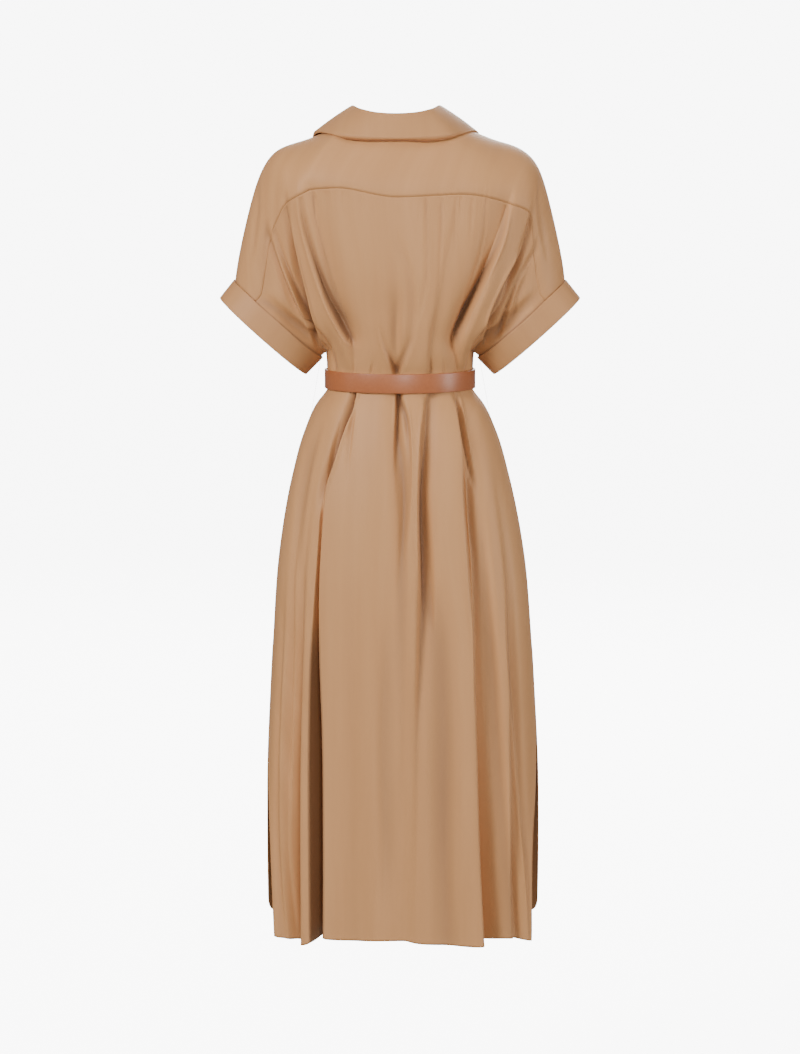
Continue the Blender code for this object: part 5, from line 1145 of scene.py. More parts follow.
def yoke_surface(seams, ways):
    """The yoke from the back seam to the two front seams, and its cells that exist.

    The middle columns stop at the neck.
    """
    (back_seam, *front_seams), (back_way, *front_ways) = seams, ways
    rows, count, sleeve = YOKE_ROWS, len(back_seam), len(front_seams[0])
    neck_first, neck_last = sleeve - 1, count - sleeve
    top = np.empty((count, 3))
    way = np.tile(np.array((0.0, 1.0, 0.0)), (count, 1))
    halves = []
    for side, columns, front, front_way in zip(
            SIDES, (np.arange(neck_first, -1, -1), np.arange(neck_last, count)),
            front_seams, front_ways):
        place = (run_along(back_seam[columns]) + run_along(front)) / 2.0
        top[columns] = shoulder_points(place, side)
        halves.append((side, columns, place, front, front_way))
    neck = np.arange(neck_first, neck_last + 1)
    share = np.linspace(-1.0, 1.0, len(neck))
    top[neck] = neck_points(share)
    steep = 1.0 - np.abs(share) ** 2
    less, more = NECK_RISE
    way[neck] = unit(np.stack((0.0 * share, 1.0 - less * steep, more * steep), -1))
    half = rows // 2 + 1
    step = np.linspace(0.0, 1.0, half)
    grid = np.empty((rows, count, 3))
    grid[:half] = bridge(back_seam, back_way, top, way, step)
    for side, columns, place, front, front_way in halves:
        grid[half - 1:, columns] = bridge(top[columns], way[columns], front, -front_way, step)
        turn = np.interp(np.arange(rows), (0, half - 1, rows - 1),
                         (CUFF_TURN[0], 0, -CUFF_TURN[0]))
        exact = sleeve_ring(turn, SLEEVE_TUCK, side)
        pull = np.clip((place - YOKE_CUFF_SHARE) / (1.0 - YOKE_CUFF_SHARE), 0.0, 1.0) ** 2
        grid[:, columns] += pull[None, :, None] * (exact - grid[:, columns[-1]])[:, None]
    grid[half:, neck_first + 1:neck_last] = grid[half - 1, neck_first + 1:neck_last]
    keep = np.ones((rows - 1, count - 1), bool)
    keep[half - 1:, neck_first:neck_last] = False
    return grid, keep

# %% Draw the panels
def ironed(grid, amount, passes):
    """The grid evened out along its rows, more where amount is near one."""
    grid, amount = grid.copy(), amount[:, 1:-1, None]
    for _ in range(passes):
        middle = (grid[:, :-2] + 2.0 * grid[:, 1:-1] + grid[:, 2:]) / 4.0
        grid[:, 1:-1] += amount * (middle - grid[:, 1:-1])
    return grid


def rim_shade(grid):
    """How much painted shadow each point of a grid gets under the cuffs' upper edges."""
    shade = np.zeros(grid.shape[:2])
    around = np.linspace(0.0, 360.0, 181)
    for side in SIDES:
        rim = sleeve_ring(around, 0.0, side)
        near = np.all(np.abs(grid - rim.mean(0)) < np.ptp(rim, axis=0) / 2.0 + RIM_REACH, -1)
        if near.any():
            apart = line_gap(grid[near], rim)[0]
            shade[near] = np.maximum(shade[near], RIM_SHADOW_DARK * np.exp(-((apart / RIM_SHADE) ** 2)))
    return shade


def main_panels(down):
    """The back, both fronts and the yoke, as grids with normals and the cells that exist."""
    pieces, cloth, seams, plain_seams, ways = {}, {}, [], [], []
    for name, face, side, overlap, columns, pleated in (
            ("back", "back", 1.0, 0.0, BACK_COLUMNS, PLEAT_COLUMNS),
            ("front_left", "front", -1.0, FRONT_UNDERLAP, FRONT_COLUMNS, 0),
            ("front_right", "front", 1.0, -FRONT_SETBACK, FRONT_COLUMNS, 0)):
        cloth[name] = spread_columns(face, side, columns, overlap, pleated)
        pieces[name] = [*panel(face, side, cloth[name], down, overlap), None]
        base = base_panel(face, side, cloth[name], down[:2], overlap)
        seams.append(pieces[name][0][0])
        plain_seams.append(base[0])
        ways.append(unit(base[0] - base[1]))
    grid, keep = yoke_surface(seams, ways)
    plain, _ = yoke_surface(plain_seams, ways)
    seam = np.minimum(edge_runs(plain, "first"), edge_runs(plain, "last"))
    plain = ironed(plain, 1.0 - np.exp(-((seam / YOKE_CALM) ** 2)), YOKE_PASSES)
    grid = plain + (grid - plain) * np.exp(-((seam / YOKE_CALM) ** 2))[..., None]
    normals = grid_normals(grid, np.array((0.0, 0.0, 1.0)))
    behind = ease(-grid[..., 1] / SLEEVE_BEHIND)
    grid = grid + normals * (creased(grid, SLEEVE_CREASES) * behind)[..., None]
    pieces["yoke"] = [grid, grid_normals(grid, np.array((0.0, 0.0, 1.0))), keep]
    return pieces, cloth


SLEEVE_BEHIND = 0.02  # the sleeves' creases fade out over this depth behind the shoulder
YOKE_PASSES = 120
YOKE_CALM = 0.018  # folds that are sewn into the yoke's seams fade out over this length
pieces, cloth = main_panels(down)
for name, (grid, normals, keep) in pieces.items():
    print(name, grid.shape[:2], "points")

# %% Sew the seams
def press(name, edge, sewn=True):
    """Press a panel in along the part of an edge that is sewn to its neighbour."""
    grid, normals, _ = pieces[name]
    dip = SEAM_DIP * np.exp(-((edge_runs(grid, edge) / SEAM_WIDE) ** 2)) * sewn
    pieces[name][0] = grid - normals * dip[..., None]


def share_normals():
    """Give the edges that two pieces share one normal; returns where the sides are sewn."""
    yoke_normals, (back, back_normals, _) = pieces["yoke"][1], pieces["back"]
    back_normals[0] = yoke_normals[0] = unit(back_normals[0] + yoke_normals[0])
    sewn = {}
    for name, columns, column in (
            ("front_left", np.arange(FRONT_COLUMNS - 1, -1, -1), 0),
            ("front_right", np.arange(BACK_COLUMNS - FRONT_COLUMNS, BACK_COLUMNS), -1)):
        front, normals, _ = pieces[name]
        normals[0] = yoke_normals[-1, columns] = unit(normals[0] + yoke_normals[-1, columns])
        sides = {"front": (front[:, -1], normals[:, -1]),
                 "back": (back[:, column], back_normals[:, column])}
        ways = {part: way.copy() for part, (_, way) in sides.items()}
        for part, other in (("front", "back"), ("back", "front")):
            edge, way = sides[part]
            gap, nearest = line_gap(edge, sides[other][0])
            joined = gap < SEWN
            way[joined] = unit(way[joined] + ways[other][nearest[joined]])
            sewn[name, part] = joined[:, None]
    return sewn


def line_gap(points, line):
    """How far each point lies from a line of points, and the nearest of them."""
    nearest = np.argmin(np.linalg.norm(points[:, None] - line, axis=-1), axis=1)
    return to_line(points, line)[0].min(1), nearest


side_sewn = share_normals()
press("back", "first")
press("back", "left", side_sewn["front_left", "back"])
press("back", "right", side_sewn["front_right", "back"])
for name in ("front_left", "front_right"):
    press(name, "first")
    press(name, "right", side_sewn[name, "front"])
press("yoke", "first")
press("yoke", "last")
seam_ends = [pieces[name][0][side_sewn[name, "front"][:, 0], -1, 2].min()
             for name in ("front_left", "front_right")]
print("side seams end at", [round(float(height), 3) for height in seam_ends])

# %% Cloth shells
CLOTH_THIN = 0.0008  # cloth that lies single
HEM_THICK = 0.0015  # cloth folded over at a hem
THIN_SHARE = CLOTH_THIN / HEM_THICK
FOLD_PASSES = 150  # how far the cloth is evened out to find what lies below it, for the painted fold shade
FOLD_SHADE_DEEP = 0.0085  # cloth that lies this much lower gets the full painted fold shade
CUFF_COLLAR_SHADE = 0.16  # painted shade laid evenly over the cuffs, the collar and its stand, as a share of the full fold shade


def grid_faces(rows, columns, keep=None):
    """Quads of a grid; keep tells which of its cells exist."""
    corners = [row * columns + column for row, column in np.ndindex(rows - 1, columns - 1)
               if keep is None or keep[row, column]]
    return [(at, at + columns, at + columns + 1, at + 1) for at in corners]


def mark_cloth(mesh, across, length, dark):
    """Give a sheet its places on the flat cloth, in metres, and how much painted shade each point
    gets.
    """
    corners = np.empty(len(mesh.loops), np.int32)
    mesh.loops.foreach_get("vertex_index", corners)
    layer = mesh.uv_layers.new(name="cloth")
    layer.data.foreach_set("uv", np.stack((across, length), -1).reshape(-1, 2)[corners].ravel())
    fold = mesh.attributes.new("fold", "FLOAT", "POINT")
    fold.data.foreach_set("value", dark.ravel().astype(np.float32))


def cloth_shell(name, grid, normals, keep=None, hem=0.0, dark=0.0):
    """A sheet of cloth from a grid, as thick as a hem where hem is 1 and fully painted with shade
    where dark is 1.
    """
    rows, columns = grid.shape[:2]
    mesh = bpy.data.meshes.new(name + "_cloth")
    mesh.from_pydata(grid.reshape(-1, 3).tolist(), [], grid_faces(rows, columns, keep))
    across = edge_runs(grid, "left")
    across = across - across[:, columns // 2:columns // 2 + 1]
    # painted shade: cloth that lies below its evened-out neighbours is painted darker, as in a
    # fold
    level = ironed(grid, np.ones((rows, columns)), FOLD_PASSES)
    painted_cavity_shade = np.clip(np.sum((level - grid) * normals, axis=-1) / FOLD_SHADE_DEEP, 0.0, 1.0)
    mark_cloth(mesh, across, edge_runs(grid, "first"), np.maximum(painted_cavity_shade, dark))
    thing = put(name + "_cloth", mesh)
    hem = np.broadcast_to(np.clip(hem, 0.0, 1.0), (rows, columns)).ravel()
    weights = np.round(THIN_SHARE + (1.0 - THIN_SHARE) * hem, 2)
    group = thing.vertex_groups.new(name="hem")
    for level in np.unique(weights):
        group.add(np.flatnonzero(weights == level).tolist(), float(level), "REPLACE")
    shape = bmesh.new()
    shape.from_mesh(mesh)
    loose = [vertex for vertex in shape.verts if not vertex.link_faces]
    bmesh.ops.delete(shape, geom=loose, context="VERTS")
    one, two = grid[1:, :-1] - grid[:-1, :-1], grid[:-1, 1:] - grid[:-1, :-1]
    if np.sum(np.cross(one, two) * normals[:-1, :-1]) < 0.0:
        bmesh.ops.reverse_faces(shape, faces=shape.faces[:])
    shape.to_mesh(mesh)
    shape.free()
    solid = thing.modifiers.new("cloth", "SOLIDIFY")
    solid.thickness = HEM_THICK
    solid.offset = -1.0
    solid.vertex_group = "hem"
    solid.use_even_offset = False
    coat(mesh, camel_twill)
    return thing

# %% [markdown]
# ## Back, fronts and yoke
# The back falls in one length from the yoke to the hem, and each front does the same beside
# the button strip. Their lower edges and the slits beside the knees are narrow turned hems:
# the cloth there is twice as thick and stands a hair's breadth proud.

# %% Build the panels
def hem_share(grid, edges):
    """How much of a hem each point of a grid belongs to, for edges with their free rows."""
    share = np.zeros(grid.shape[:2])
    for edge, free in edges:
        run = edge_runs(grid, edge)
        share = np.maximum(share, ease((HEM_WIDE - run) / (HEM_WIDE * HEM_BLEND)) * free)
    return share


HEM_BLEND = 0.25  # the step down from a hem takes this share of its width
free_sides = {key: ~flags for key, flags in side_sewn.items()}
hems = {
    "back": (("last", True), ("left", free_sides["front_left", "back"]),
             ("right", free_sides["front_right", "back"])),
    "front_left": (("last", True), ("left", True), ("right", free_sides["front_left", "front"])),
    "front_right": (("last", True), ("left", True), ("right", free_sides["front_right", "front"])),
    "yoke": (),
}
shells = {}
for name, (grid, normals, keep) in pieces.items():
    share = hem_share(grid, hems[name])
    grid = grid + normals * (HEM_LIFT * share)[..., None]
    # painted shade: the shadow under the cuffs' edges and the shade along the creases
    dark = np.maximum(rim_shade(grid), painted_crease_shades.get(name, 0.0))
    # painted shade inside the open pleat
    if name == "back":
        dark = np.maximum(dark, PLEAT_SHADE * pleat_inside(cloth["back"], down))
    shells[name] = cloth_shell(name, grid, normals, keep, share, dark)
    print(name, 4 * len(shells[name].data.polygons), "triangles once solid")

# %% [markdown]
# ## Cuffs
# Each short sleeve ends in a band that is turned back over it. Its section is one line: down
# inside the sleeve, round the folded edge and back up outside, where it stands away from the
# sleeve a little. That section is swept round the end of the sleeve like a profile on a path.

# %% Closed bands of cloth
CUFF_ROUND = 160  # steps round a cuff
CUFF_CLOTH = 0.0012
CUFF_WAVE = 0.0004  # how uneven the cuff's upper edge is
CUFF_WAVES = (3.0, 7.0)  # waves round a cuff, of two kinds
SECOND_WAVE = 0.6  # height of the second kind, as a share of the first


def closed_cloth(name, rings):
    """A band whose section closes on itself, from rings of points that close as well."""
    grid = np.pad(rings, ((0, 1), (0, 1), (0, 0)), "wrap")
    rows, columns = grid.shape[:2]
    mesh = bpy.data.meshes.new(name)
    mesh.from_pydata(grid.reshape(-1, 3).tolist(), [], grid_faces(rows, columns))
    # painted shade laid evenly over the whole cuff
    mark_cloth(mesh, edge_runs(grid, "left"), edge_runs(grid, "first"),
               np.full(rows * columns, CUFF_COLLAR_SHADE))
    mend(mesh)
    coat(mesh, camel_twill)
    return put(name + "_cloth", mesh)


def half_turn(centre, across, along, steps):
    """Points of half an ellipse that rises along the sleeve, from one face to the other."""
    angles = np.linspace(math.pi, 0.0, steps)
    return [(centre[0] + across * math.cos(a), centre[1] + along * math.sin(a)) for a in angles]


def straight(start, end, steps):
    """Points on a straight line, without its ends."""
    return list(np.linspace(start, end, steps + 1)[1:-1])


def cuff_section():
    """The cuff's closed section: out from the sleeve's face, along the sleeve."""
    stand, flare = CUFF_STAND + CLOTH, CUFF_FLARE + CLOTH
    turn, thick = CUFF_WIDTH - CLOTH, CUFF_CLOTH
    middle, half = (stand - CLOTH) / 2.0, (stand + CLOTH) / 2.0
    outside = ([(-CLOTH, CUFF_TUCK)] + straight((-CLOTH, CUFF_TUCK), (-CLOTH, turn), 5)
               + half_turn((middle, turn), half, CLOTH, 9)
               + straight((stand, turn), (flare, 0.0), 12))
    rim = [(flare - thick / 2.0 + thick / 2.0 * math.cos(a), -thick / 2.0 * math.sin(a))
           for a in np.linspace(0.0, math.pi, 5)]
    inside = (straight((flare - thick, 0.0), (stand - thick, turn - thick), 8)
              + half_turn((middle, turn - thick), half - thick, CLOTH - thick / 2.0, 5)[::-1]
              + [(thick - CLOTH, CUFF_TUCK)])
    return outside + rim + inside


cuffs = {}
around = np.linspace(0.0, 360.0, CUFF_ROUND, endpoint=False)
for name, side, phase in (("cuff_left", -1.0, 40.0), ("cuff_right", 1.0, 115.0)):
    wave = (np.sin(np.radians(CUFF_WAVES[0] * around + phase))
            + SECOND_WAVE * np.sin(np.radians(CUFF_WAVES[1] * around - phase)))
    rings = np.array([sleeve_ring(around, along + CUFF_WAVE * wave * (1.0 - along / CUFF_WIDTH),
                                  side, out) for out, along in cuff_section()])
    cuffs[name] = closed_cloth(name, rings)
    print(name, len(cuffs[name].data.polygons), "faces")

# %% [markdown]
# ## Collar
# A shirt collar has a stand, which rises from the neckline, and a fall, which rolls over it
# and lies on the shoulders. The roll is a bit more than a quarter circle, and the fall swells
# a little, because the cloth inside it is stiff. Its last rows are then laid on the yoke: each
# point looks up the nearest cloth and keeps its distance.

# %% Collar lines
# share of half the collar, then x, y, z of its roll and of its edge there, in millimetres
COLLAR = (
    (0.00, (0, -61, 25.5), (0, -81.5, -11.5)),
    (0.15, (30, -55.5, 27.2), (48, -79, -10)),
    (0.28, (52, -37, 32), (88, -62, -6.5)),
    (0.40, (63.5, -1, 34.6), (118, -12, -2.5)),
    (0.52, (64, 29, 18), (127, 30, -13)),
    (0.65, (57, 57, -18), (127, 60, -40)),
    (0.82, (43, 86, -62), (115, 84, -82)),
    (1.00, (26, 113, -110), (86, 110, -128)),
)


def collar_lines(share):
    """The roll line and the outer edge of the collar; share runs from -1 to 1."""
    knots, roll, edge = (np.array(column) for column in zip(*COLLAR))
    return [both_sides(knots, half / 1000.0, share) for half in (roll, edge)]


def roll_frame(neckline, share):
    """The roll line, the outer edge, and the ways up and out square to the roll line."""
    roll, edge = collar_lines(share)
    run = unit(np.gradient(roll, axis=0))
    rise = square_to(roll - neckline, run)
    out = square_to(square_to(edge - roll, run), rise)
    return roll, edge, rise, out


def stand_grid(neckline, share):
    """The stand: from just above the neck seam up to the start of the fall."""
    roll, _, rise, _ = roll_frame(neckline, share)
    foot = neckline + rise * STAND_GAP
    top = roll - rise * (ROLL_TURN + SEAM_GAP)
    step = np.linspace(0.0, 1.0, STAND_ROWS)[:, None, None]
    return foot + (top - foot) * step


def fall_grid(neckline, share):
    """The fall: up from the stand, round over the roll line and down to its outer edge."""
    roll, edge, rise, out = roll_frame(neckline, share)
    fallen = -np.sum((edge - roll) * rise, axis=1, keepdims=True)
    steep = np.arctan2(fallen, np.sum((edge - roll) * out, axis=1, keepdims=True))
    centre = roll + (out - rise) * ROLL_RADIUS
    bends = np.linspace(0.0, 1.0, ROLL_BENDS)[:, None, None]
    turn = math.pi - (math.pi / 2.0 + steep) * bends
    bend = centre + ROLL_RADIUS * (np.cos(turn) * out + np.sin(turn) * rise)
    step = np.linspace(0.0, 1.0, FALL_ROWS + 1)[1:, None, None]
    away = edge - bend[-1]
    depth = np.linalg.norm(away, axis=1)[None, :, None]
    swell = np.sin(step * math.pi) ** FALL_POWER * depth * FALL_SWELL
    level, upward = FALL_LIFT
    lift = unit(away * np.array((1.0, 1.0, 0.0)))[None] * level + np.array((0.0, 0.0, upward))
    over = bend[-1] + away * step + swell * lift
    start = roll - rise * ROLL_TURN
    return np.concatenate((start[None], bend, over))


def lay_on(points, surface, least, most):
    """Move points along a surface's normals until they lie between two heights above it."""
    flat = np.concatenate([grid.reshape(-1, 3) for grid, _ in surface])
    ways = np.concatenate([way.reshape(-1, 3) for _, way in surface])
    tree = KDTree(len(flat))
    for index, point in enumerate(flat):
        tree.insert(point, index)
    tree.balance()
    placed = points.copy()
    for spot in np.ndindex(points.shape[:2]):
        if least[spot] <= UNHELD:
            continue
        found = tree.find_n(placed[spot], LAY_NEAR)
        near = np.array([index for _, index, _ in found])
        weight = 1.0 / (np.array([distance for _, _, distance in found]) + LAY_SOFT) ** 2
        way = unit((ways[near] * weight[:, None]).sum(0))
        height = ((placed[spot] - flat[near]) @ way * weight).sum() / weight.sum()
        placed[spot] += way * (np.clip(height, least[spot], most[spot]) - height)
    return placed

# %% Build the collar
STAND_ROWS = 10
ROLL_BENDS = 14
FALL_ROWS = 30
FALL_RESTING = 22  # rows by the edge that are kept clear of the shoulders
LAY_NEAR = 8  # nearest points that say where a surface lies
LAY_SOFT = 0.002  # keeps the weight of the nearest point within bounds
UNHELD = -1.0  # a least height that holds nothing

yoke, yoke_normals, _ = pieces["yoke"]
left, left_normals, _ = pieces["front_left"]
right, right_normals, _ = pieces["front_right"]
collar_row = int(np.searchsorted(down, NECK_END))
reach_row = int(np.searchsorted(down, COLLAR_REACH))
half = YOKE_ROWS // 2
neck_first, neck_last = FRONT_COLUMNS - 1, BACK_COLUMNS - FRONT_COLUMNS
neckline = np.concatenate((
    left[collar_row:0:-1, 0], yoke[:half:-1, neck_first],
    yoke[half, neck_first:neck_last + 1],
    yoke[half + 1:, neck_last], right[1:collar_row + 1, 0]))
apart = np.linalg.norm(np.diff(neckline, axis=0), axis=1)
neckline = neckline[np.concatenate(((True,), apart > WELD))]
collar_share = 2.0 * run_along(neckline) - 1.0
even = np.linspace(-1.0, 1.0, len(neckline))
neckline = curve(collar_share, neckline, even)
stand = stand_grid(neckline, even)
facing = grid_normals(stand, np.array((NECK_SHIFT, 0.0, 0.0)) - stand)
# painted shade laid evenly over the whole stand
shells["collar_stand"] = cloth_shell("collar_stand", stand, facing, dark=CUFF_COLLAR_SHADE)

body = ((yoke, yoke_normals), (left[:reach_row], left_normals[:reach_row]),
        (right[:reach_row], right_normals[:reach_row]))
fall = fall_grid(neckline, even)
least, most = np.full(fall.shape[:2], UNHELD), np.full(fall.shape[:2], 1.0)
first, reach = POINT_PLACE
lift = POINT_LIFT * ease((np.abs(even) - first) / reach)
least[-FALL_RESTING:] = FALL_REST[0] + lift
most[-1] = FALL_REST[1] + lift
fall = lay_on(fall, body, least, most)
collar_facing = grid_normals(fall, np.array((0.0, 0.0, 1.0)))
edge = hem_share(fall, (("last", True), ("left", True), ("right", True)))
# painted shade laid evenly over the whole collar
shells["collar"] = cloth_shell("collar", fall, collar_facing, None, edge, CUFF_COLLAR_SHADE)
depth = round(float(edge_runs(fall, "first")[-1].max()), 3)
print("collar:", fall.shape[:2], "points, fall", depth, "m")

# %% [markdown]
# ## Button strip and buttons
# The right front ends in a strip that carries the buttons. It follows both fronts at a small
# distance, because it lies on them. A button is a turned profile: a dished face inside a
# rounded rim, with four holes cut through and thread crossing them.

# %% Button strip
PLACKET_COLUMNS = 13


def row_at(panel_grid, x):
    """Points of a panel's rows where they pass the given x."""
    return np.array([read_at(x, row[:, 0], row) for row in panel_grid])


def placket_grid(left, right, left_normals, right_normals):
    """The button strip: the fronts' own points on either side of the middle, moved out."""
    half = PLACKET_WIDTH / 2.0
    points, ways = [], []
    for x in np.linspace(-half, half, PLACKET_COLUMNS):
        on_left = x < FRONT_UNDERLAP
        grid, normals = (left, left_normals) if on_left else (right, right_normals)
        column = row_at(grid, x)
        points.append(column)
        nearest = np.array([np.argmin(np.abs(row[:, 0] - x)) for row in grid])
        ways.append(normals[np.arange(len(grid)), nearest])
    points, ways = np.array(points).transpose(1, 0, 2), np.array(ways).transpose(1, 0, 2)
    ways = unit(ways * np.array((PLACKET_FACING, 1.0, 1.0)))
    return points + ways * (LAYER_GAP + CLOTH), ways


def button_places(strip, ways):
    """Where each button sits: its centre and the way it faces."""
    middle, facing = strip[:, PLACKET_COLUMNS // 2], ways[:, PLACKET_COLUMNS // 2]
    heights = [first - pitch * step for first, pitch, count in BUTTON_HEIGHTS
               for step in range(count)]
    return [(read_at(height, middle[:, 2], middle), unit(read_at(height, middle[:, 2], facing)))
            for height in heights]


strip_row = int(np.searchsorted(down, STRIP_START))
strip, strip_facing = placket_grid(left[strip_row:], right[strip_row:],
                                   left_normals[strip_row:], right_normals[strip_row:])
edge = hem_share(strip, (("left", True), ("right", True), ("last", True)))
shells["placket"] = cloth_shell("placket", strip, strip_facing, None, edge)
places = button_places(strip, strip_facing)
print(len(places), "buttons on the strip")

# %% Buttons
BUTTON_TURN = 48
HOLE_RADIUS = 0.0007
HOLE_PLACE = 0.0014  # each hole's distance from the middle, across and along
HOLE_SIDES = 14
THREAD_RADIUS = 0.00035
THREAD_TALL = 1.3 * THREAD_RADIUS
THREAD_REACH = 1.7 * HOLE_PLACE  # half the length of a bar of thread
THREAD_RISE = 0.22 * BUTTON_THICK
# out from the middle and up, as shares of the radius and of the thickness
BUTTON_PROFILE = ((0, -0.5), (0.8, -0.5), (0.93, -0.38), (1, -0.1), (0.985, 0.25), (0.9, 0.46),
                  (0.78, 0.5), (0.68, 0.36), (0.58, 0.22), (0.3, 0.17), (0, 0.16))


def turned_button():
    """A round button with four holes, centred on the origin and facing up."""
    rings = np.array(BUTTON_PROFILE) * np.array((BUTTON_RADIUS, BUTTON_THICK))
    shape = bmesh.new()
    line = [shape.verts.new((out, 0.0, up)) for out, up in rings]
    edges = [shape.edges.new(pair) for pair in zip(line, line[1:])]
    bmesh.ops.spin(shape, geom=line + edges, cent=(0, 0, 0), axis=(0, 0, 1),
                   angle=2.0 * math.pi, steps=BUTTON_TURN, use_duplicate=False)
    mesh = from_shape("button_blank", shape)
    mend(mesh)
    blank = put("button_blank", mesh)
    seats = [Matrix.Translation(Vector((across, along, 0.0)) * HOLE_PLACE)
             for across, along in ((-1, -1), (-1, 1), (1, -1), (1, 1))]
    mesh = drilled(blank, seats, HOLE_SIDES, HOLE_RADIUS, 3.0 * BUTTON_THICK)
    bpy.data.objects.remove(blank)
    return mesh


def thread_cross():
    """Two crossed bars of thread through the holes of a button, facing up."""
    shape = bmesh.new()
    for turn in (45.0, -45.0):
        bar = bmesh.ops.create_uvsphere(shape, u_segments=8, v_segments=6, radius=1.0)["verts"]
        size = Matrix.Diagonal((THREAD_REACH, THREAD_RADIUS, THREAD_TALL, 1.0))
        spin = Matrix.Rotation(math.radians(turn), 4, "Z")
        rise = Matrix.Translation((0.0, 0.0, THREAD_RISE))
        bmesh.ops.transform(shape, matrix=rise @ spin @ size, verts=bar)
    return from_shape("button_thread", shape)


button_blank, thread_blank = turned_button(), thread_cross()
buttons, button_threads = {}, []
for index, (point, way) in enumerate(places, 1):
    seat = seated(point + way * (SEAM_GAP + BUTTON_THICK / 2.0), way)
    for name, blank, finish, angle in (
            (f"button_{index}_horn", button_blank, horn, 40.0),
            (f"button_{index}_thread", thread_blank, camel_thread, 180.0)):
        mesh = blank.copy()
        mesh.transform(seat)
        coat(mesh, finish, angle)
        thing = put(name, mesh)
        if blank is button_blank:
            buttons[f"button_{index}"] = thing
        else:
            button_threads.append(thing)
print(len(buttons), "buttons of", len(button_blank.polygons), "faces")

# %% [markdown]
# ## Geometry Nodes for the belt and the stitches
# A node tree suits what follows a path. The belt is a rounded strip swept along a line that
# goes round the waist once and laps over its own start. The stitches are one small bead of
# thread, set down again and again along the seams. Each tree has named inputs for its sizes,
# and its result is kept as a plain mesh, so nothing depends on the tree afterwards.

# %% Tools for node trees
def new_tree(name, sizes):
    """A geometry tree with a geometry input and output, and named sizes with their values."""
    tree = bpy.data.node_groups.new(name, "GeometryNodeTree")
    tree.interface.new_socket("Geometry", in_out="INPUT", socket_type="NodeSocketGeometry")
    for size, value in sizes.items():
        socket = tree.interface.new_socket(size, in_out="INPUT", socket_type="NodeSocketFloat")
        socket.default_value = value
    tree.interface.new_socket("Finish", in_out="INPUT", socket_type="NodeSocketMaterial")
    tree.interface.new_socket("Geometry", in_out="OUTPUT", socket_type="NodeSocketGeometry")
    return tree, tree.nodes.new("NodeGroupInput"), tree.nodes.new("NodeGroupOutput")


def end_tree(tree, source, into, result):
    """Close a tree: real geometry, shaded smooth, with its finish."""
    real = add(tree, "GeometryNodeRealizeInstances", Geometry=result)
    smooth = add(tree, "GeometryNodeSetShadeSmooth", Geometry=real.outputs[0])
    finish = add(tree, "GeometryNodeSetMaterial", Geometry=smooth.outputs[0],
                 Material=source.outputs["Finish"])
    tree.links.new(finish.outputs[0], into.inputs[0])
    return tree


def run_tree(name, mesh, tree, finish, **sizes):
    """Run a tree on a mesh and keep the result as a plain mesh object."""
    thing = put(name, mesh)
    nodes = thing.modifiers.new("tree", "NODES")
    nodes.node_group = tree
    inputs = {**sizes, "Finish": finish}
    for item in tree.interface.items_tree:
        if item.in_out == "INPUT" and item.name in inputs:
            nodes[item.identifier] = inputs[item.name]
    result = finished_mesh(thing)
    thing.modifiers.clear()
    bpy.data.objects.remove(thing)
    result.name = name
    return put(name, result)


def line_mesh(name, lines, ways=None):
    """A mesh of loose lines; ways gives each point the direction that its cloth faces."""
    points = np.concatenate(lines)
    starts = np.cumsum([0] + [len(line) for line in lines])
    edges = [(k, k + 1) for at, line in zip(starts, lines) for k in range(at, at + len(line) - 1)]
    mesh = bpy.data.meshes.new(name)
    mesh.from_pydata(points.tolist(), edges, [])
    if ways is not None:
        layer = mesh.attributes.new("facing", "FLOAT_VECTOR", "POINT")
        layer.data.foreach_set("vector", np.concatenate(ways).astype(np.float32).ravel())
    return mesh

# %% Belt
BELT_POINTS = 360
BELT_EDGE = 0.0010  # radius of the strap's edges
TIP_LENGTH = 0.016  # the strap's end narrows to a rounded tip over this length
TIP_BLUNT = 0.30  # how wide the very end stays, as a share
TIP_POWER = 2.4  # how square the tip's shoulders are
LAP_SPLIT = 0.6 * BELT_THICK  # the outer layer starts this far inside its middle


def belt_point(degrees, out):
    """A point round the waist in plan, out from the cloth; 90 is the centre front."""
    angle = np.radians(degrees)
    half, depth = SKIRT[0][1] + BELT_AIR, SKIRT[0][3] + BELT_AIR
    point = np.stack((half * np.cos(angle), depth * np.sin(angle), 0.0 * angle), -1)
    way = unit(np.stack((np.cos(angle) / half, np.sin(angle) / depth, 0.0 * angle), -1))
    return point + way * np.asarray(out)[..., None], way


def strap_tree():
    """A rounded strip swept along a line that lies flat."""
    tree, source, into = new_tree("strap", {"Width": 0.03, "Thickness": 0.003, "Edge": 0.001})
    path = add(tree, "GeometryNodeMeshToCurve", Mesh=source.outputs["Geometry"])
    level = add(tree, "GeometryNodeSetCurveNormal", mode="Z_UP", Curve=path.outputs[0])
    outline = add(tree, "GeometryNodeCurvePrimitiveQuadrilateral",
                  Width=source.outputs["Thickness"], Height=source.outputs["Width"])
    rounded = add(tree, "GeometryNodeFilletCurve", mode="POLY", Count=4, Curve=outline.outputs[0],
                  Radius=source.outputs["Edge"])
    sweep = add(tree, "GeometryNodeCurveToMesh", Fill_Caps=True, Curve=level.outputs[0],
                Profile_Curve=rounded.outputs[0])
    return end_tree(tree, source, into, sweep.outputs[0])


turn = np.linspace(BELT_START, BELT_START + 360.0 + BELT_LAP, BELT_POINTS)
rise = ease((turn - (BELT_START + 360.0 - BELT_RISE)) / BELT_RISE)
belt_middle = (BELT_TOP + BELT_BOTTOM) / 2.0
strap_line, _ = belt_point(turn, rise * (BELT_THICK + LAYER_GAP) + BELT_THICK / 2.0)
strap_line[:, 2] = belt_middle
belt = run_tree("belt_strap", line_mesh("belt_strap", [strap_line]), strap_tree(), tan_leather,
                Width=BELT_TOP - BELT_BOTTOM - 2.0 * BELT_TRIM, Thickness=BELT_THICK,
                Edge=BELT_EDGE)


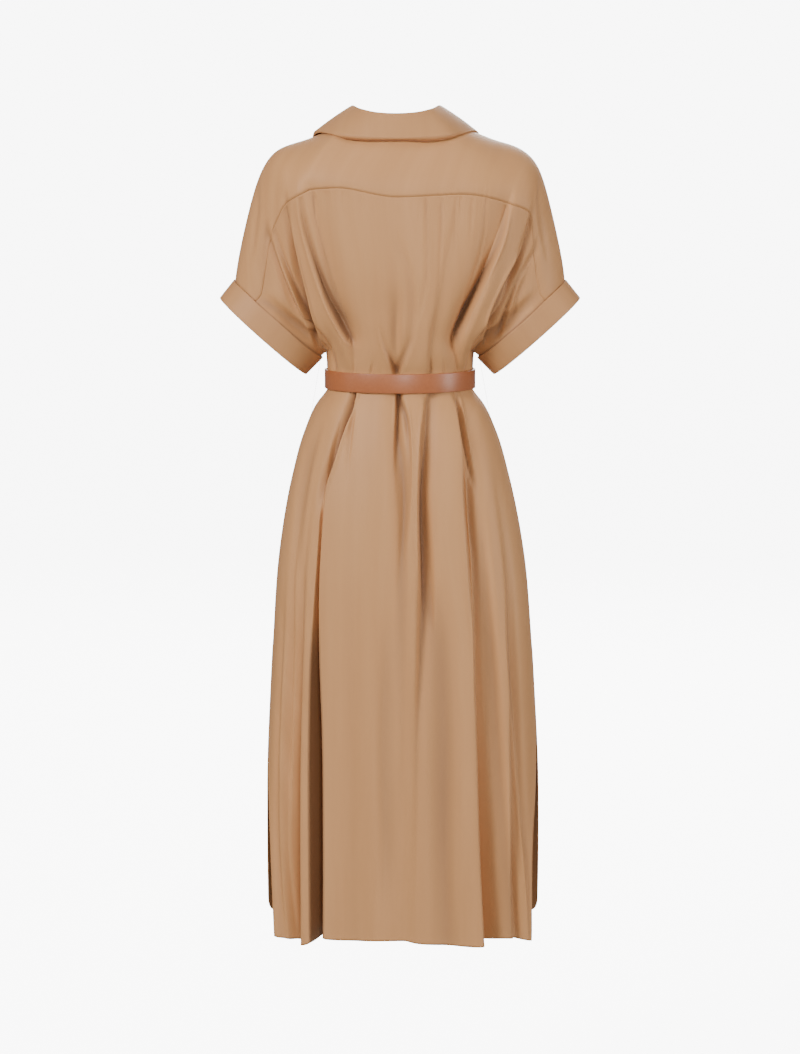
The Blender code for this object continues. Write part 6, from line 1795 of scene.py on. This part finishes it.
def round_tip(thing, line):
    """Narrow the end of the strap to a rounded tip."""
    points = np.array([vertex.co for vertex in thing.data.vertices])
    to_end = (points - line[-1]) @ unit(line[-2] - line[-1])
    inside = (np.linalg.norm(points - line[-1], axis=1) < 2.0 * TIP_LENGTH) & (to_end < TIP_LENGTH)
    outer = np.linalg.norm(points[:, :2], axis=1) > np.linalg.norm(line[-1, :2]) - LAP_SPLIT
    chosen = inside & outer
    share = 1.0 - np.clip(to_end[chosen] / TIP_LENGTH, 0.0, 1.0)
    narrow = TIP_BLUNT + (1.0 - TIP_BLUNT) * np.sqrt(np.maximum(1.0 - share**TIP_POWER, 0.0))
    points[chosen, 2] = line[-1, 2] + (points[chosen, 2] - line[-1, 2]) * narrow
    thing.data.vertices.foreach_set("co", points.ravel())
    thing.data.update()


round_tip(belt, strap_line)
belt.data.set_sharp_from_angle(angle=math.radians(60.0))
print("belt:", [round(size, 4) for size in belt.dimensions], "m,",
      len(belt.data.polygons), "faces")

# %% Holes in the belt
HOLE_TURNS = (466.5, 477.5, 488.5, 499.5)  # where the holes are round the waist, in degrees
BELT_HOLE = 0.0019  # radius
BELT_HOLE_SIDES = 20
PUNCH = 1.15 * BELT_THICK  # long enough for the outer layer alone

seats = []
for place in HOLE_TURNS:
    spot, way = belt_point(np.array(place), np.array(1.5 * BELT_THICK + LAYER_GAP))
    seats.append(seated((spot[0], spot[1], belt_middle), way))
belt.data = drilled(belt, seats, BELT_HOLE_SIDES, BELT_HOLE, PUNCH)
belt.data.set_sharp_from_angle(angle=math.radians(50.0))
print("belt with holes:", len(belt.data.polygons), "faces")

# %% [markdown]
# ## Buckle and keeper
# The buckle is bent wire: a frame with rounded corners, and a prong that lies across it. A
# curve object with a bevel is the simplest way to make wire. The keeper is a narrow loop of the
# belt's leather that holds its end down.

# %% Buckle
CORNER_BENDS = 7


def waist_spot(x, out, height):
    """A point in front of the waist at x, out from the cloth, at a height."""
    half = SKIRT[0][1] + BELT_AIR
    point, _ = belt_point(np.degrees(np.arccos(x / half)), np.array(out))
    return Vector((point[0], point[1], height))


def wire(name, points, radius, closed):
    """A bent metal wire through the points, as a mesh with closed ends."""
    line = bpy.data.curves.new(name, "CURVE")
    line.dimensions = "3D"
    spline = line.splines.new("POLY")
    spline.points.add(len(points) - 1)
    for spot, point in zip(spline.points, points):
        spot.co = (*point, 1.0)
    spline.use_cyclic_u = closed
    line.bevel_depth = radius
    line.bevel_resolution = 6
    line.use_fill_caps = True
    thing = put(name, line)
    mesh = finished_mesh(thing)
    bpy.data.objects.remove(thing)
    mend(mesh)
    coat(mesh, gilt, 50.0)
    return put(name, mesh)


lapped = 2.0 * BELT_THICK + LAYER_GAP + SEAM_GAP + BUCKLE_WIRE
single = BELT_THICK + BUCKLE_TILT + SEAM_GAP + BUCKLE_WIRE
frame_top = BELT_TOP + BUCKLE_WIRE + BUCKLE_AIR
frame_bottom = BELT_BOTTOM - BUCKLE_WIRE - BUCKLE_AIR
corner = BUCKLE_CORNER
frame_line = []
for x, out, inward in ((-BUCKLE_HALF, lapped, 1.0), (BUCKLE_HALF, single, -1.0)):
    bend = np.linspace(0.0, math.pi / 2.0, CORNER_BENDS)
    upper = [(x + inward * corner * (1.0 - math.sin(a)), frame_top - corner * (1.0 - math.cos(a)))
             for a in bend]
    lower = [(across, frame_top + frame_bottom - height) for across, height in upper[::-1]]
    spots = [waist_spot(across, out, height) for across, height in upper + lower]
    frame_line += spots if inward > 0.0 else spots[::-1]
buckle_frame = wire("buckle_frame_wire", frame_line, BUCKLE_WIRE, True)
above = BUCKLE_WIRE + SEAM_GAP + PRONG_WIRE
arch = (lapped + single) / 2.0 + above + PRONG_ARCH
prong_keys = np.array((
    # across the front, out from the cloth
    (-BUCKLE_HALF - PRONG_PAST[0], lapped + above),
    (BUCKLE_HALF * PRONG_BENDS[0], lapped + above),
    (BUCKLE_HALF * PRONG_BENDS[1], arch),
    (BUCKLE_HALF + PRONG_PAST[1], single + above + PRONG_ARCH),
))
prong_across = np.linspace(prong_keys[0, 0], prong_keys[-1, 0], 24)
prong_out = curve(prong_keys[:, 0], prong_keys[:, 1], prong_across)
prong_line = [waist_spot(x, out, belt_middle) for x, out in zip(prong_across, prong_out)]
buckle_prong = wire("buckle_prong_wire", prong_line, PRONG_WIRE, False)
print("buckle frame", len(frame_line), "points, prong", len(prong_across), "points")

# %% Keeper
KEEPER_STEPS = 9
KEEPER_ROUND = 0.0004


def keeper_loop():
    """The loop round both layers of the strap, its section swept along the waist."""
    face = 2.0 * BELT_THICK + LAYER_GAP + SEAM_GAP
    top, bottom = BELT_TOP + SEAM_GAP, BELT_BOTTOM - SEAM_GAP
    foot, thick = KEEPER_FOOT, KEEPER_THICK
    # out from the cloth, height
    section = ((foot, top), (face, top), (face, bottom), (foot, bottom),
               (foot, bottom - thick), (face + thick, bottom - thick),
               (face + thick, top + thick), (foot, top + thick))
    rings = [[belt_point(at, np.array(out))[0] + np.array((0.0, 0.0, height))
              for out, height in section] for at in np.linspace(*KEEPER_PLACE, KEEPER_STEPS)]
    count = len(section)
    faces = [(ring * count + i, ring * count + (i + 1) % count,
              (ring + 1) * count + (i + 1) % count, (ring + 1) * count + i)
             for ring in range(KEEPER_STEPS - 1) for i in range(count)]
    faces += [tuple(range(count)), tuple((KEEPER_STEPS - 1) * count + i for i in range(count))]
    mesh = bpy.data.meshes.new("belt_keeper")
    mesh.from_pydata([tuple(point) for ring in rings for point in ring], [], faces)
    mend(mesh)
    coat(mesh, tan_leather)
    thing = put("belt_keeper_loop", mesh)
    ease_edges = thing.modifiers.new("edges", "BEVEL")
    ease_edges.width = KEEPER_ROUND
    ease_edges.segments = 2
    ease_edges.limit_method = "ANGLE"
    ease_edges.angle_limit = math.radians(40.0)
    return thing


belt_keeper = keeper_loop()
print("keeper made")

# %% [markdown]
# ## Stitches
# A seam that is topstitched shows a row of small slanting beads of thread on the cloth beside
# it. The rows follow the edges of the panels at a few millimetres. The tree measures each line
# out in even steps and sets a bead on every step, turned along the line and away from the
# cloth, so that one bead of a few dozen faces makes all of them.

# %% Lines beside the edges
THREAD = 0.00042
STITCH = 0.0022
STITCH_PITCH = 0.0030
SEAM_STITCH = 0.0035  # rows beside the yoke seams lie this far in
HEM_STITCH = 0.0062
STRIP_STITCH = 0.0040
COLLAR_STITCH = 0.0052
LIFT = 0.00008  # beads lie this far above the cloth


def beside(grid, normals, edge, distance, part=slice(None)):
    """A line that runs beside an edge of a grid, at a distance from it, with its normals."""
    run = edge_runs(grid, edge)
    if edge in ("first", "last"):
        grid, normals, run = grid.transpose(1, 0, 2), normals.transpose(1, 0, 2), run.T
    points, ways = [], []
    for spots, facing, away in zip(grid[part], normals[part], run[part]):
        points.append(read_at(distance, away, spots))
        ways.append(read_at(distance, away, facing))
    return np.array(points), unit(np.array(ways))


def thin_out(points, ways, shortest=0.0008):
    """Leave out points that are closer than the shortest step to the one before."""
    kept = [0]
    for index in range(1, len(points)):
        if np.linalg.norm(points[index] - points[kept[-1]]) >= shortest:
            kept.append(index)
    return points[kept], ways[kept]

# %% Stitch tree
def stitch_tree():
    """Beads of thread set along lines at an even pitch."""
    tree, source, into = new_tree("stitches", {"Pitch": 0.003, "Length": 0.0022, "Thread": 0.0005})
    path = add(tree, "GeometryNodeMeshToCurve", Mesh=source.outputs["Geometry"])
    steps = add(tree, "GeometryNodeCurveToPoints", mode="LENGTH", Curve=path.outputs[0],
                Length=source.outputs["Pitch"])
    facing = add(tree, "GeometryNodeInputNamedAttribute", data_type="FLOAT_VECTOR", Name="facing")
    along = add(tree, "FunctionNodeAlignRotationToVector", axis="X",
                Vector=steps.outputs["Tangent"])
    upright = add(tree, "FunctionNodeAlignRotationToVector", axis="Z", pivot_axis="X",
                  Rotation=along.outputs[0], Vector=facing.outputs["Attribute"])
    bead = add(tree, "GeometryNodeMeshUVSphere", Segments=6, Rings=4, Radius=0.5)
    size = add(tree, "ShaderNodeCombineXYZ", X=source.outputs["Length"],
               Y=source.outputs["Thread"], Z=source.outputs["Thread"])
    shape = add(tree, "GeometryNodeTransform", Geometry=bead.outputs["Mesh"],
                Scale=size.outputs[0])
    place = add(tree, "GeometryNodeInstanceOnPoints", Points=steps.outputs["Points"],
                Instance=shape.outputs[0], Rotation=upright.outputs[0])
    return end_tree(tree, source, into, place.outputs[0])


stitching = stitch_tree()


def sew_lines(name, lines, pitch=STITCH_PITCH, length=STITCH, thread=THREAD):
    """Rows of stitches along lines of points and normals."""
    lines = [thin_out(points, ways) for points, ways in lines]
    lifted = [points + ways * LIFT for points, ways in lines]
    mesh = line_mesh(name, lifted, [ways for _, ways in lines])
    return run_tree(name, mesh, stitching, camel_thread, Pitch=pitch, Length=length, Thread=thread)

# %% Sew
sleeve = FRONT_COLUMNS - 1
hem = ("last", HEM_STITCH)
open_back = {front: free_sides[front, "back"][:, 0] for front in ("front_left", "front_right")}
# the sheet with its normals, then the edges that its rows run beside, how far off and which part
ROWS = {
    "back": (pieces["back"][:2], hem, ("left", HEM_STITCH, open_back["front_left"]),
             ("right", HEM_STITCH, open_back["front_right"])),
    **{name: (pieces[name][:2], hem, ("right", HEM_STITCH, free_sides[name, "front"][:, 0]))
       for name in open_back},
    "yoke": (pieces["yoke"][:2], ("first", SEAM_STITCH), ("last", SEAM_STITCH, slice(0, sleeve)),
             ("last", SEAM_STITCH, slice(BACK_COLUMNS - sleeve, None))),
    "placket": ((strip, strip_facing), ("left", STRIP_STITCH), ("right", STRIP_STITCH), hem),
    "collar": ((fall, collar_facing), ("last", COLLAR_STITCH),
               *((edge, COLLAR_STITCH, slice(ROLL_BENDS, None)) for edge in ("left", "right"))),
}
stitches = {name: sew_lines(name + "_stitches", [beside(*sheet, *row) for row in rows])
            for name, (sheet, *rows) in ROWS.items()}
for name, thing in stitches.items():
    print(name, "stitches:", len(thing.data.polygons) // 24, "beads")

# %% Buttonholes
EYELET_HALF = 0.0085  # half a buttonhole's length
EYELET_SIDE = 0.0008  # how far its two rows are from its middle
EYELET_THREAD = (0.0007, 0.0009, 0.0006)  # pitch, length and thickness of its stitches
rows = []
for point, way in places:
    for side in (-EYELET_SIDE, EYELET_SIDE):
        heights = point[2] + np.linspace(-EYELET_HALF, EYELET_HALF, 12)
        column = row_at(strip, point[0] + side)
        line = read_at(heights, column[:, 2], column)
        rows.append((line, np.tile(way, (len(line), 1))))
stitches["buttonholes"] = sew_lines("buttonholes", rows, *EYELET_THREAD)
print("buttonholes:", len(stitches["buttonholes"].data.polygons) // 24, "beads")

# %% [markdown]
# ## Hand over
# Every piece is tied to the solid it stands for. The cloth has no joints, so all of them ride
# on the one body. The main sheets of cloth also print their longest row, longest column and area.

# %% Tie the pieces to the solids
shells.update(cuffs)
ties = [(thing, name, "dress_cloth") for name, thing in shells.items()]
ties += [(thing, None, "dress_cloth") for thing in (*stitches.values(), *button_threads)]
ties += [(thing, name, "buttons") for name, thing in buttons.items()]
ties += [(belt, "belt", "belt_leather"), (belt_keeper, "belt_keeper", "belt_leather"),
         (buckle_frame, "buckle_frame", "buckle_metal"),
         (buckle_prong, "buckle_prong", "buckle_metal")]
for thing, node, slot in ties:
    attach(thing, "root")
    if node:
        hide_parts(node)
print("pieces:", len(ties))

# %% Print the sizes of the sheets
def measured(grid):
    """A grid's longest row, its longest column and its area."""
    rows, columns = edge_runs(grid, "left")[:, -1], edge_runs(grid, "first")[-1]
    one, two = grid[1:, :-1] - grid[:-1, :-1], grid[:-1, 1:] - grid[:-1, :-1]
    area = np.linalg.norm(np.cross(one, two), axis=2).sum()
    return round(float(rows.max()), 3), round(float(columns.max()), 3), round(float(area), 3)


for name, (grid, _, _) in pieces.items():
    print(name, "measures", measured(grid))
print("collar measures", measured(fall), "stand", measured(stand), "strip", measured(strip))
